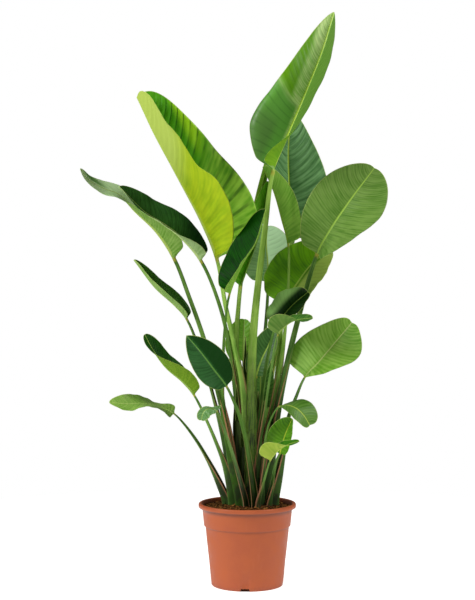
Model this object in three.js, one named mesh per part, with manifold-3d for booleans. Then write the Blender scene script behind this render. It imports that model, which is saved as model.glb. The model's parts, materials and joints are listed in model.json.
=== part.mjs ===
// A potted bird of paradise in millimetres, +Z up. The origin is the middle of the pot's
// underside. The front of the plant, with the most open view of its leaves, faces -Y.

import * as THREE from "three";
import { mergeVertices } from "three/addons/utils/BufferGeometryUtils.js";
import Module from "manifold-3d";

const wasm = await Module();
wasm.setup();
const { Manifold, Mesh } = wasm;

// Pot: a 24 cm injection-moulded container with a rolled lip and a step below its collar
const POT_HEIGHT = 201;
const LIP_RADIUS = 120;
const LIP_DEPTH = 11;
const COLLAR_RADIUS = 110.8;
const STEP_HEIGHT = 145;
const STEP_RADIUS = 102.8;
const FOOT_RADIUS = 88.4;
const POT_WALL = 2;
const FLOOR = 3;
const POT_SIDES = 36;

// Openings at the foot
const NOTCH_WIDTH = 23;
const NOTCH_TOP_WIDTH = 19;
const NOTCH_HEIGHT = 7;
const NOTCH_TURN = -4;
const DRAIN_RADIUS = 5;
const DRAIN_CIRCLE = 48;
const DRAIN_HOLES = 8;

// Potting mix and roots
const SOIL_EDGE = 189;
const SOIL_CROWN = 7;
const SOIL_LUMP = 1.5;
const ROOT_LEVEL = 160;
const PLUG_LENGTH = 60;
const CLEARANCE = 0.32;

// Leaves: a blade's sweep is how far its edge stands behind or ahead of the rib, as a share of
// its half-width, at the neck and at the tip.
const BLADE_THICKNESS = 1;
const RIB_TIP_HALF = 1.2;
const NECK_BLEND = 0.07;
const CHANNEL_RISE = 0.4;
const NECK_SWEEP = -0.25;
const TIP_SWEEP = 0.4;
const RIPPLES = 2.4;

// How finely a leaf is cut: columns across each half, rings along the blade and the stalk
const RIB_COLUMN = 0.1;
const LARGE = { columns: [-1, -0.55, 0, 0.55, 1], blade: 12, stalk: 7 };
const SMALL = { columns: [-1, 0, 1], blade: 9, stalk: 6 };
const CUPPED = { columns: [-1, -0.55, 0, 0.55, 1], blade: 9, stalk: 6 };

// Colours
const MID_GREEN = 0x4d7d31;
const DARK_GREEN = 0x24471f;
const LIME = 0x9db826;
const GREY_GREEN = 0x5d7f57;
const TERRACOTTA = 0xc1684a;
const BARK = 0x3a281b;

// Each leaf: stalk points from the soil to the neck, rib points from the neck to the tip, the
// way its upper side faces at the root, at the neck and on to the tip, and from neck to tip the
// half-widths left and right of the rib and the two halves' fold and curl in degrees. thick is
// the stalk's half-width and depth at the root and its half-width at the neck. full is where
// the blade is widest, and blunt how round its ends are.
const LEAVES = [
  {
    name: "leaf_top",
    size: LARGE,
    colour: MID_GREEN,
    stalk: [
      [7, -10, 201], [9, -18, 357], [13, -36, 590], [26, -46, 736], [45, -54, 889], [62, -60, 1009],
    ],
    rib: [[98, -62, 1098], [142, -54, 1204], [189, -38, 1306], [212, -20, 1405]],
    faces: [[0, -1, 0], [-0.1, -1, 0.1], [0, -0.95, 0.25], [0, -0.9, 0.4]],
    wide: [[72, 98], [104, 98], [77, 98], [76, 98], [86, 98]],
    fold: [[5, 105], [10, 71], [22, 64], [18, 62], [8, 58]],
    curl: [[5, 30], [5, 15], [0, 8], [0, 5], [0, 0]],
    full: 0.35,
    blunt: 0.8,
    thick: [13, 10, 4.5],
    wave: 2,
  },
  {
    name: "leaf_tall_left",
    size: LARGE,
    colour: LIME,
    stalk: [
      [1, 14, 198], [-2, 14, 354], [-9, 12, 490], [-29, 10, 589], [-52, 6, 688], [-73, 0, 800],
    ],
    rib: [[-108, -4, 887], [-172, -10, 1007], [-229, -16, 1111], [-270, -20, 1197]],
    faces: [[1, 0, 0], [0.9, -0.1, 0.44], [0.9, -0.1, 0.44]],
    wide: [
      [72, 150], [106, 146], [146, 140], [170, 128], [128, 115], [152, 112], [148, 110], [148, 112],
      [140, 115],
    ],
    fold: [[44, 78], [36, 82], [28, 80], [27, 84], [28, 84]],
    curl: [[4, 0], [4, 0], [4, 0], [4, 0], [4, 0]],
    blunt: 0.45,
    thick: [12, 10, 5],
    wave: 3,
  },
  {
    name: "leaf_reach_front",
    size: LARGE,
    colour: DARK_GREEN,
    stalk: [
      [-13, 34, 194], [-18, 38, 351], [-28, 38, 476], [-43, 36, 588], [-67, 20, 688], [-112, -5, 796],
    ],
    rib: [[-163, -14, 855], [-209, -18, 889], [-249, -20, 914], [-313, -22, 977]],
    faces: [[1, 0, 0], [0.55, -0.15, 0.8], [0.48, -0.37, 0.79], [0.5, -0.4, 0.77]],
    wide: [[46, 60], [58, 62]],
    fold: [[40, 38], [20, 28], [20, 24], [24, 22]],
    curl: [[20, 0], [0, 0], [0, 0], [0, 0]],
    thick: [9, 8, 4.5],
    wave: 2,
  },
  {
    name: "leaf_reach_back",
    size: LARGE,
    colour: MID_GREEN,
    stalk: [
      [-28, 14, 198], [-40, 14, 292], [-51, 17, 378], [-65, 22, 448], [-105, 34, 599],
      [-145, 46, 711], [-181, 57, 802],
    ],
    rib: [
      [-226, 63, 871], [-281, 60, 924], [-320, 54, 964], [-363, 46, 981], [-396, 38, 1001],
      [-415, 32, 1027],
    ],
    faces: [[1, 0, 0], [0.73, 0.34, 0.59], [0.6, 0.1, 0.75], [0.4, -0.34, 0.86], [0.3, -0.4, 0.86]],
    wide: [[58, 62], [58, 62], [40, 42]],
    fold: [[42, 35], [25, 20], [2, 8], [0, 8]],
    curl: [[10, 0], [0, 0], [0, 0], [0, 0]],
    thick: [9, 8, 4],
    wave: 1.5,
  },
  {
    name: "leaf_narrow_left",
    size: SMALL,
    colour: DARK_GREEN,
    stalk: [
      [-38, 34, 194], [-45, 35, 252], [-54, 36, 326], [-69, 36, 401], [-85, 37, 466],
      [-110, 39, 550], [-150, 42, 652],
    ],
    rib: [[-178, 42, 685], [-230, 40, 732], [-282, 36, 800]],
    faces: [[1, 0, 0], [0.71, -0.31, 0.64], [0.71, -0.31, 0.64]],
    wide: [[34, 34]],
    fold: [[40, 35], [35, 30], [35, 28]],
    curl: [[0, 0], [0, 0], [0, 0]],
    thick: [7.5, 7, 2.8],
    wave: 1,
  },
  {
    name: "leaf_folded_left",
    size: CUPPED,
    colour: DARK_GREEN,
    stalk: [
      [-40, -6, 201], [-45, -8, 245], [-57, -12, 302], [-74, -16, 349], [-94, -20, 396],
      [-129, -24, 467],
    ],
    rib: [[-157, -26, 500], [-199, -28, 536], [-230, -32, 578], [-250, -36, 616]],
    faces: [[1, 0, 0], [0.76, 0.17, 0.62], [0.74, -0.26, 0.6], [0.54, -0.7, 0.45]],
    wide: [[34, 40], [42, 44], [44, 44]],
    fold: [[58, 40], [50, 30], [34, 15], [10, 10]],
    curl: [[20, 0], [10, 0], [0, 0], [0, 0]],
    thick: [9, 8, 2.8],
    wave: 1.5,
  },
  {
    name: "leaf_dark_oval",
    size: SMALL,
    colour: DARK_GREEN,
    stalk: [[15, -32, 205], [5, -44, 299], [-8, -56, 380], [-23, -66, 430], [-50, -86, 492]],
    rib: [[-78, -92, 530], [-114, -96, 578], [-146, -94, 615]],
    faces: [[0.3, -1, 0], [0.3, -1, 0.3], [0.2, -1, 0.2]],
    wide: [[44, 44]],
    fold: [[12, 12], [8, 8], [10, 10]],
    curl: [[0, 0], [0, 0], [0, 0]],
    thick: [7.5, 7, 2.8],
    wave: 1,
    blunt: 0.85,
  },
  {
    name: "leaf_low_left",
    size: CUPPED,
    colour: MID_GREEN,
    stalk: [
      [-56, 10, 198], [-70, 8, 241], [-92, 4, 295], [-118, 0, 343], [-152, -6, 391],
      [-179, -10, 420],
    ],
    rib: [[-204, -14, 434], [-231, -20, 443], [-260, -26, 448], [-290, -32, 447], [-336, -38, 451]],
    faces: [[1, 0, 0], [0.3, 0.5, 0.8], [0, 0.02, 1], [0, -0.7, 0.7], [0, -0.75, 0.65]],
    wide: [[33, 33]],
    fold: [[-5, 20], [-5, 10], [8, 8], [15, 15]],
    curl: [[0, 0], [0, 0], [10, 10], [10, 10]],
    thick: [8, 6, 2],
    wave: 1.5,
  },
  {
    name: "leaf_small_curled",
    size: CUPPED,
    colour: GREY_GREEN,
    stalk: [
      [-7, -34, 205], [-18, -46, 258], [-32, -56, 313], [-47, -64, 362], [-61, -72, 401],
      [-73, -78, 432],
    ],
    rib: [[-88, -82, 440], [-100, -86, 437], [-107, -88, 428], [-111, -88, 412]],
    faces: [[0.5, -1, 0], [-0.1, -1, 0.6], [0.1, -1, 0.3]],
    wide: [[10, 28], [16, 6], [20, 8], [22, 16], [20, 20]],
    fold: [[10, 5], [10, 75], [10, 25], [10, 10], [10, 10]],
    curl: [[0, 0], [0, 0], [0, 10], [0, 0], [0, 0]],
    blunt: 0.45,
    thick: [6, 6, 1.8],
    wave: 1,
  },
  {
    name: "leaf_dark_centre",
    size: LARGE,
    colour: DARK_GREEN,
    stalk: [
      [-23, -22, 203], [-40, -24, 296], [-53, -28, 382], [-61, -34, 456], [-60, -44, 554],
      [-55, -64, 639], [-44, -92, 714],
    ],
    rib: [[-14, -106, 784], [20, -108, 840], [43, -104, 916]],
    faces: [[1, 0, 0], [-0.85, -0.2, 0.45], [-0.85, -0.2, 0.45]],
    wide: [[48, 52], [66, 52], [68, 52]],
    fold: [[62, 38], [36, 16], [35, 14], [37, 14]],
    curl: [[0, 0], [0, 0], [0, 0], [0, 0]],
    thick: [7.5, 7, 3.5],
    wave: 1.5,
  },
  {
    name: "leaf_behind_centre",
    size: SMALL,
    colour: MID_GREEN,
    stalk: [
      [-10, 52, 192], [-10, 52, 349], [-20, 52, 487], [-28, 50, 607], [-23, 48, 675],
      [-16, 46, 732],
    ],
    rib: [[2, 46, 785], [25, 46, 850], [42, 46, 925], [53, 46, 997]],
    faces: [[1, 0, 0], [-0.4, -0.8, 0.3], [-0.3, -0.9, 0.2]],
    wide: [[44, 30]],
    fold: [[62, 60], [60, 60], [60, 60]],
    curl: [[0, 0], [0, 0], [0, 0]],
    thick: [7, 7, 4],
    wave: 1,
  },
  {
    name: "leaf_rolled",
    size: SMALL,
    colour: MID_GREEN,
    stalk: [[-24, 72, 188], [-26, 76, 348], [-27, 76, 524], [-20, 78, 700], [-4, 80, 826]],
    rib: [[12, 82, 909], [27, 84, 978], [42, 84, 1036], [55, 82, 1091]],
    faces: [[1, 0, 0], [0.7, -0.7, 0.1], [0.7, -0.7, 0.1]],
    wide: [[22, 22]],
    fold: [[70, 70], [75, 75], [75, 75]],
    curl: [[60, 60], [70, 70], [60, 60]],
    thick: [7, 7, 5],
    wave: 0,
  },
  {
    name: "leaf_pale_back",
    size: LARGE,
    colour: GREY_GREEN,
    stalk: [[5, 80, 188], [13, 92, 346], [31, 106, 497], [47, 126, 623], [55, 146, 746]],
    rib: [[54, 156, 798], [51, 170, 848], [55, 186, 893]],
    faces: [[0, -1, 0], [0, -0.9, 0.4], [0, -0.75, 0.65], [0, -0.7, 0.7]],
    wide: [[66, 70]],
    fold: [[20, 20], [10, 10], [5, 5]],
    curl: [[0, 0], [0, 0], [-10, -10]],
    thick: [7, 7, 3.5],
    wave: 2,
  },
  {
    name: "leaf_mid_right",
    size: LARGE,
    colour: MID_GREEN,
    stalk: [
      [37, 34, 194], [47, 34, 326], [67, 36, 451], [79, 38, 550], [85, 40, 630], [87, 42, 690],
    ],
    rib: [[110, 48, 720], [161, 58, 789], [209, 66, 829]],
    faces: [[-1, 0, 0], [-0.3, -0.85, 0.45], [-0.25, -0.85, 0.5]],
    wide: [[88, 60]],
    fold: [[10, 18], [8, 12], [5, 5]],
    curl: [[0, 5], [5, 5], [0, 0]],
    thick: [9, 8, 4],
    wave: 3.5,
  },
  {
    name: "leaf_cupped_right",
    size: CUPPED,
    colour: MID_GREEN,
    stalk: [
      [22, 12, 198], [24, 8, 329], [33, -6, 432], [43, -18, 519], [57, -30, 593], [70, -40, 639],
    ],
    rib: [[89, -48, 664], [112, -54, 690], [147, -50, 719]],
    faces: [[-1, 0, 0], [-0.3, -0.8, 0.5], [-0.3, -0.8, 0.5]],
    wide: [[48, 46]],
    fold: [[70, 45], [78, 45], [66, 35]],
    curl: [[-80, -30], [-95, -30], [-70, -20]],
    thick: [7, 7, 3],
    wave: 3,
  },
  {
    name: "leaf_small_twisted",
    size: CUPPED,
    colour: GREY_GREEN,
    stalk: [
      [24, -12, 202], [25, -14, 258], [31, -24, 348], [43, -42, 442], [56, -72, 530],
      [72, -108, 618],
    ],
    rib: [[85, -112, 634], [107, -118, 650], [154, -124, 658]],
    faces: [[-1, 0, 0], [-0.5, -0.1, 0.85], [-0.4, -0.2, 0.9], [-0.1, -0.5, 0.85]],
    wide: [[28, 46]],
    fold: [[25, 80], [20, 52], [12, 12], [15, 20]],
    curl: [[0, 20], [0, 10], [0, 0], [0, 0]],
    thick: [6.5, 6, 2.5],
    wave: 1,
  },
  {
    name: "leaf_dark_inner",
    size: SMALL,
    colour: DARK_GREEN,
    stalk: [[17, 34, 195], [18, 32, 327], [21, 28, 427], [23, 24, 509]],
    rib: [[37, 22, 555], [52, 22, 586], [72, 22, 635]],
    faces: [[-1, 0, 0], [-0.2, -1, 0.2], [-0.2, -1, 0.2]],
    wide: [[38, 26]],
    fold: [[10, 20], [10, 20], [10, 20]],
    curl: [[0, 0], [0, 0], [0, 0]],
    thick: [6, 6, 3],
    wave: 1,
  },
  {
    name: "leaf_bright_inner",
    size: SMALL,
    colour: LIME,
    stalk: [[6, 56, 191], [3, 68, 318], [-4, 84, 448], [-9, 96, 545]],
    rib: [[-9, 104, 587], [-7, 118, 651]],
    faces: [[0, -1, 0], [0, -1, 0.3], [0, -0.9, 0.4]],
    wide: [[46, 32]],
    fold: [[15, 15], [15, 15], [15, 15]],
    curl: [[0, 0], [0, 0], [0, 0]],
    thick: [6, 6, 3],
    wave: 1,
  },
  {
    name: "leaf_large_right",
    size: LARGE,
    colour: MID_GREEN,
    stalk: [
      [54, 6, 199], [59, 2, 281], [71, -6, 395], [85, -8, 481], [106, -8, 577], [132, -12, 678],
      [169, -48, 810],
    ],
    rib: [[200, -60, 869], [248, -64, 941], [307, -60, 1019]],
    faces: [[-1, 0, 0], [-0.3, -0.9, 0.2], [-0.2, -0.95, 0.25]],
    wide: [[66, 104], [82, 106], [92, 106], [88, 102]],
    fold: [[10, 62], [8, 38], [8, 12], [5, 0]],
    curl: [[5, 0], [5, 0], [5, 0], [0, 0]],
    thick: [10, 9, 4.5],
    wave: 2,
  },
  {
    name: "leaf_tall_back",
    size: LARGE,
    colour: GREY_GREEN,
    stalk: [[25, 62, 190], [38, 84, 346], [64, 98, 522], [92, 108, 675], [115, 118, 853]],
    rib: [[109, 122, 969], [106, 122, 1084], [113, 116, 1183]],
    faces: [[-1, 0, 0], [0, -1, 0.15], [0, -1, 0.25]],
    wide: [[88, 102]],
    fold: [[74, 15], [70, 12], [52, 10], [30, 10], [12, 10]],
    curl: [[0, 0], [5, 5], [10, 10]],
    blunt: 0.75,
    thick: [9, 8, 5],
    wave: 2,
    full: 0.3,
  },
  {
    name: "leaf_half_folded",
    size: LARGE,
    colour: MID_GREEN,
    stalk: [
      [38, 12, 198], [46, 10, 329], [66, 6, 453], [85, 2, 551], [95, -2, 637], [102, -4, 736],
      [102, 4, 837],
    ],
    rib: [[87, 12, 898], [67, 18, 967], [39, 16, 1030]],
    faces: [[-1, 0, 0], [0.9, 0.1, 0.3], [0.9, 0.1, 0.3]],
    wide: [[60, 60]],
    fold: [[38, 30], [38, 30], [36, 30]],
    curl: [[8, 0], [5, 0], [5, 0]],
    thick: [8, 7, 3.5],
    wave: 1,
  },
  {
    name: "leaf_round_right",
    size: CUPPED,
    colour: MID_GREEN,
    stalk: [
      [71, 8, 199], [81, 4, 266], [91, -2, 340], [100, -6, 405], [120, -12, 462], [141, -20, 511],
    ],
    rib: [[174, -26, 548], [215, -30, 597], [255, -32, 645]],
    faces: [[-1, 0, 0], [-0.3, -0.85, 0.45], [-0.2, -0.9, 0.35]],
    wide: [[84, 64], [76, 72], [60, 84], [50, 52]],
    fold: [[8, 66], [8, 36], [8, 10], [5, 0]],
    curl: [[0, 0], [0, 0], [0, 0], [0, 0]],
    thick: [8.5, 8, 2.6],
    wave: 1.5,
    blunt: 0.42,
  },
  {
    name: "leaf_small_right",
    size: CUPPED,
    colour: MID_GREEN,
    stalk: [[37, -14, 202], [39, -24, 284], [46, -38, 371], [56, -50, 409], [77, -64, 443]],
    rib: [[95, -68, 447], [118, -72, 439], [135, -76, 423], [150, -76, 399]],
    faces: [[-1, 0, 0], [0, -0.5, 0.85], [0.1, -0.8, 0.6], [0.3, -0.9, 0.3]],
    wide: [[30, 26], [38, 28], [42, 28], [44, 30]],
    fold: [[-38, 25], [-32, 12], [-10, 8], [0, 8], [0, 8]],
    curl: [[0, 20], [0, 10], [0, 0], [0, 0], [0, 0]],
    blunt: 0.4,
    thick: [6, 6, 2],
    wave: 1,
  },
  {
    name: "leaf_low_inner",
    size: SMALL,
    colour: MID_GREEN,
    stalk: [[56, -16, 202], [63, -20, 264], [72, -28, 309], [79, -32, 325]],
    rib: [[84, -34, 345], [93, -36, 374], [109, -36, 411]],
    faces: [[-1, 0, 0], [-0.2, -0.95, 0.2], [-0.2, -0.9, 0.3]],
    wide: [[40, 28]],
    fold: [[5, 35], [10, 40], [25, 50]],
    curl: [[0, 0], [0, 0], [0, 0]],
    thick: [6.5, 6, 2.4],
    wave: 1,
  },
  {
    name: "leaf_low_curled",
    size: CUPPED,
    colour: LIME,
    stalk: [[28, -38, 205], [35, -56, 246], [44, -78, 283], [54, -94, 316]],
    rib: [[69, -98, 337], [89, -102, 352], [123, -104, 364]],
    faces: [[-1, 0, 0], [-0.6, -0.1, 0.8], [-0.5, -0.15, 0.85], [-0.1, -0.2, 0.95]],
    wide: [[24, 44]],
    fold: [[25, 78], [20, 55], [12, 12], [15, 12]],
    curl: [[0, 20], [0, 10], [0, 0], [0, 0]],
    thick: [5.5, 5.5, 2.2],
    wave: 1,
  },
  {
    name: "leaf_back_low",
    size: SMALL,
    colour: MID_GREEN,
    stalk: [[50, 46, 192], [46, 54, 274], [40, 60, 374], [36, 66, 423]],
    rib: [[34, 70, 468], [35, 76, 523], [38, 80, 579]],
    faces: [[0, -1, 0], [0, -1, 0.1], [0, -1, 0.2]],
    wide: [[40, 34]],
    fold: [[20, 20], [15, 15], [15, 15]],
    curl: [[0, 0], [0, 0], [0, 0]],
    thick: [6, 6, 3],
    wave: 1,
  },
];

// Shared arithmetic

const lerp = THREE.MathUtils.lerp;
const radians = THREE.MathUtils.degToRad;

// Read a list of evenly spaced keys, numbers or pairs or directions, at q from 0 to 1.
function track(keys, q) {
  if (keys.length === 1) return keys[0];
  const place = q * (keys.length - 1);
  const low = Math.min(Math.floor(place), keys.length - 2);
  return keys[low].map((value, i) => lerp(value, keys[low + 1][i], place - low));
}

// Merge a closed surface's shared points, drop flat triangles and make it a solid.
function solidFrom(geometry) {
  geometry.deleteAttribute("normal");
  geometry.deleteAttribute("uv");
  const merged = mergeVertices(geometry, 1e-4);
  const index = Array.from(merged.index.array);
  const kept = [];
  for (let i = 0; i < index.length; i += 3) {
    const [a, b, c] = index.slice(i, i + 3);
    if (a !== b && b !== c && c !== a) kept.push(a, b, c);
  }
  return new Manifold(new Mesh({
    numProp: 3,
    vertProperties: new Float32Array(merged.attributes.position.array),
    triVerts: new Uint32Array(kept),
  }));
}

function geometryFrom(solid) {
  const mesh = solid.getMesh();
  const geometry = new THREE.BufferGeometry();
  geometry.setAttribute("position", new THREE.BufferAttribute(mesh.vertProperties, 3));
  geometry.setIndex(new THREE.BufferAttribute(mesh.triVerts, 1));
  geometry.computeVertexNormals();
  return geometry;
}

// A turned solid, its profile given as [radius, height] from the axis out and back to the axis
function turned(profile) {
  const points = profile.map(([radius, height]) => new THREE.Vector2(radius, height));
  return new THREE.LatheGeometry(points, POT_SIDES).rotateX(Math.PI / 2);
}

// Leaves

// The leaf's middle line, with its neck's place as a share of its length
function leafLine(leaf) {
  const [x, y] = leaf.stalk[0];
  const route = [[x, y, ROOT_LEVEL], ...leaf.stalk, ...leaf.rib];
  const points = route.map((point) => new THREE.Vector3(...point));
  const curve = new THREE.CatmullRomCurve3(points, false, "centripetal");
  const steps = 40;
  curve.arcLengthDivisions = steps * (points.length - 1);
  const lengths = curve.getLengths();
  const length = lengths[lengths.length - 1];
  return { curve, length, neck: lengths[steps * leaf.stalk.length] / length };
}

// Where a ring stands: its middle, its directions, and its place on the stalk and the blade
function station(leaf, line, s, q) {
  const u = q > 0 ? lerp(line.neck, 1, q) : line.neck * s;
  const middle = line.curve.getPointAt(u);
  const along = line.curve.getTangentAt(u);
  const face = q > 0 ? track(leaf.faces.slice(1), q) : track(leaf.faces.slice(0, 2), s);
  const up = new THREE.Vector3(...face);
  up.addScaledVector(along, -up.dot(along)).normalize();
  const right = new THREE.Vector3().crossVectors(along, up);
  return { middle, along, up, right, s, q };
}

// Half-width and depth of the stalk, broad at its sheath and slim at the neck
function stalkSize(leaf, s) {
  const [rootHalf, rootDepth, neckHalf] = leaf.thick;
  const ease = 1 - s ** 1.5;
  return [lerp(neckHalf, rootHalf, ease), lerp(neckHalf, rootDepth, ease)];
}

// A point of the stalk's channelled section: column runs from -1 to 1, side is top or under
function stalkPoint(leaf, place, column, side, grow) {
  const [half, depth] = stalkSize(leaf, place.s);
  const turn = column * Math.PI / 2;
  const across = (half + grow) * Math.sin(turn);
  const raised = side === "top"
    ? depth * CHANNEL_RISE * column ** 2 + 2 * grow
    : -(depth + grow) * Math.cos(turn);
  return place.middle.clone()
    .addScaledVector(place.right, across)
    .addScaledVector(place.up, raised);
}

// The blade's outline as a share of its half-width: round at the neck, pointed at the tip
function outline(leaf, q) {
  const { full = 0.4, blunt = 0.6 } = leaf;
  return Math.sin(Math.PI * q ** (Math.log(0.5) / Math.log(full))) ** blunt;
}

// A point of the blade: a half folds up from the rib, curls on towards its edge and waves
function bladePoint(leaf, place, column, side) {
  const q = place.q;
  const sign = Math.sign(column);
  const half = sign < 0 ? 0 : 1;
  const neckHalf = leaf.thick[2];
  const reach = Math.max(0.8, track(leaf.wide, q)[half] * outline(leaf, q) + neckHalf * (1 - q));
  const ribHalf = lerp(neckHalf, RIB_TIP_HALF, q);
  const ribShare = Math.min(0.45, ribHalf / reach);
  const v = Math.abs(column) === RIB_COLUMN ? ribShare : Math.abs(column);
  if (v === 0) {
    const keel = side === "top" ? 0 : Math.max(ribHalf, 1.6 * BLADE_THICKNESS);
    return place.middle.clone().addScaledVector(place.up, -keel);
  }
  const fold = radians(track(leaf.fold, q)[half]);
  const curl = radians(track(leaf.curl, q)[half]) * v;
  const chord = v * (curl ? Math.sin(curl / 2) / (curl / 2) : 1);
  const across = chord * Math.cos(fold + curl / 2);
  const raised = chord * Math.sin(fold + curl / 2);
  const angle = fold + curl;
  const sweep = lerp(NECK_SWEEP, TIP_SWEEP, q) * v ** 2;
  const swing = Math.sin(2 * (Math.PI * RIPPLES * q + half)) * Math.sin(Math.PI * q);
  const ripple = leaf.wave * v ** 2 * swing;
  const outward = ripple - (side === "top" ? 0 : BLADE_THICKNESS);
  return place.middle.clone()
    .addScaledVector(place.right, sign * (reach * across - outward * Math.sin(angle)))
    .addScaledVector(place.up, reach * raised + outward * Math.cos(angle))
    .addScaledVector(place.along, reach * sweep);
}

// The columns next to the rib stand off it by the rib's own half-width.
function columnsOf(size) {
  return size.columns.flatMap((column) => (column === 0 ? [-RIB_COLUMN, 0, RIB_COLUMN] : [column]));
}

function ringPoints(leaf, place, side, grow = 0) {
  const columns = columnsOf(leaf.size);
  const last = columns.length - 1;
  const blend = THREE.MathUtils.smoothstep(place.q, 0, NECK_BLEND);
  return columns.map((column, i) => {
    const stalk = stalkPoint(leaf, place, (2 * i) / last - 1, side, grow);
    return blend > 0 ? stalk.lerp(bladePoint(leaf, place, column, side), blend) : stalk;
  });
}

// Join rings of top and under points into one closed skin.
function loft(rings) {
  const columns = rings[0].top.length;
  const positions = [];
  for (const ring of rings) {
    for (const point of [...ring.top, ...ring.under]) positions.push(point.x, point.y, point.z);
  }
  const top = (i, j) => i * 2 * columns + j;
  const under = (i, j) => top(i, j) + columns;
  const index = [];
  const quad = (a, b, c, d) => index.push(a, b, c, a, c, d);
  const end = rings.length - 1;
  const right = columns - 1;
  for (let i = 0; i < end; i += 1) {
    for (let j = 0; j < right; j += 1) {
      quad(top(i, j), top(i, j + 1), top(i + 1, j + 1), top(i + 1, j));
      index.push(under(i, j), under(i + 1, j + 1), under(i, j + 1));
      index.push(under(i, j), under(i + 1, j), under(i + 1, j + 1));
    }
    quad(top(i, 0), top(i + 1, 0), under(i + 1, 0), under(i, 0));
    quad(top(i, right), under(i, right), under(i + 1, right), top(i + 1, right));
  }
  for (let j = 0; j < right; j += 1) {
    quad(top(0, j), under(0, j), under(0, j + 1), top(0, j + 1));
    quad(top(end, j), top(end, j + 1), under(end, j + 1), under(end, j));
  }
  const geometry = new THREE.BufferGeometry();
  geometry.setAttribute("position", new THREE.Float32BufferAttribute(positions, 3));
  geometry.setIndex(index);
  geometry.computeVertexNormals();
  return geometry;
}

function leafGeometry(leaf) {
  const line = leafLine(leaf);
  const plugShare = PLUG_LENGTH / (line.length * line.neck);
  const places = [station(leaf, line, 0, 0)];
  for (let i = 0; i < leaf.size.stalk; i += 1) {
    places.push(station(leaf, line, lerp(plugShare, 1, i / (leaf.size.stalk - 1)), 0));
  }
  for (let i = 1; i <= leaf.size.blade; i += 1) {
    const share = i / leaf.size.blade;
    places.push(station(leaf, line, 1, (1 - Math.cos(Math.PI * share)) / 2));
  }
  return loft(places.map((place) => ({
    top: ringPoints(leaf, place, "top"),
    under: ringPoints(leaf, place, "under"),
  })));
}

// The stretch of the stalk that stands in the soil, a little larger all round
function plugGeometry(leaf) {
  const line = leafLine(leaf);
  const root = station(leaf, line, 0, 0);
  root.middle.addScaledVector(root.along, -CLEARANCE);
  const above = station(leaf, line, PLUG_LENGTH / (line.length * line.neck), 0);
  return loft([root, above].map((place) => ({
    top: ringPoints(leaf, place, "top", CLEARANCE),
    under: ringPoints(leaf, place, "under", CLEARANCE),
  })));
}

// Pot

// Inner radius of the pot at three heights, which the potting mix follows
const INNER_FOOT = [FOOT_RADIUS - POT_WALL, 8];
const INNER_STEP = [STEP_RADIUS - POT_WALL, STEP_HEIGHT - 4];
const INNER_COLLAR = [STEP_RADIUS + 1.6, STEP_HEIGHT + 4];
const INNER_TOP = [COLLAR_RADIUS - POT_WALL, POT_HEIGHT - 14];

function potGeometry() {
  const lip = POT_HEIGHT - LIP_DEPTH;
  const shell = solidFrom(turned([
    [0, 0],
    [FOOT_RADIUS - 3.4, 0],
    [FOOT_RADIUS - 0.6, 1.6],
    [FOOT_RADIUS, 5],
    [STEP_RADIUS, STEP_HEIGHT - 3],
    [STEP_RADIUS + 0.8, STEP_HEIGHT],
    [STEP_RADIUS + 3.6, STEP_HEIGHT + 3],
    [COLLAR_RADIUS, lip - 3],
    [COLLAR_RADIUS + 1.7, lip - 0.6],
    [LIP_RADIUS - 2, lip],
    [LIP_RADIUS, lip + 2.4],
    [LIP_RADIUS, POT_HEIGHT - 2.6],
    [LIP_RADIUS - 1.4, POT_HEIGHT - 0.6],
    [LIP_RADIUS - 3.6, POT_HEIGHT],
    [COLLAR_RADIUS + 2, POT_HEIGHT - 0.6],
    [COLLAR_RADIUS, POT_HEIGHT - 3],
    INNER_TOP,
    INNER_COLLAR,
    INNER_STEP,
    INNER_FOOT,
    [FOOT_RADIUS - POT_WALL - 2.4, FLOOR],
    [0, FLOOR],
  ]));
  let pot = shell;
  for (let i = 0; i < 4; i += 1) {
    pot = pot.subtract(notch(NOTCH_TURN + 90 * i));
  }
  for (let i = 0; i < DRAIN_HOLES; i += 1) {
    pot = pot.subtract(drainHole(22.5 + (360 / DRAIN_HOLES) * i));
  }
  return geometryFrom(pot);
}

// A drain notch cut through the wall at the foot, its turn in degrees from the front
function notch(turn) {
  const shape = new THREE.Shape([
    new THREE.Vector2(-NOTCH_WIDTH / 2, -1),
    new THREE.Vector2(NOTCH_WIDTH / 2, -1),
    new THREE.Vector2(NOTCH_TOP_WIDTH / 2, NOTCH_HEIGHT),
    new THREE.Vector2(-NOTCH_TOP_WIDTH / 2, NOTCH_HEIGHT),
  ]);
  const cutter = new THREE.ExtrudeGeometry(shape, { depth: 16, bevelEnabled: false });
  cutter.translate(0, 0, FOOT_RADIUS - 13);
  cutter.rotateX(Math.PI / 2);
  cutter.rotateZ(radians(turn));
  return solidFrom(cutter);
}

function drainHole(turn) {
  const cutter = new THREE.CylinderGeometry(DRAIN_RADIUS, DRAIN_RADIUS, 4 * FLOOR, 10);
  cutter.rotateX(Math.PI / 2);
  cutter.translate(DRAIN_CIRCLE, 0, FLOOR / 2);
  cutter.rotateZ(radians(turn));
  return solidFrom(cutter);
}

// Potting mix

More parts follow.
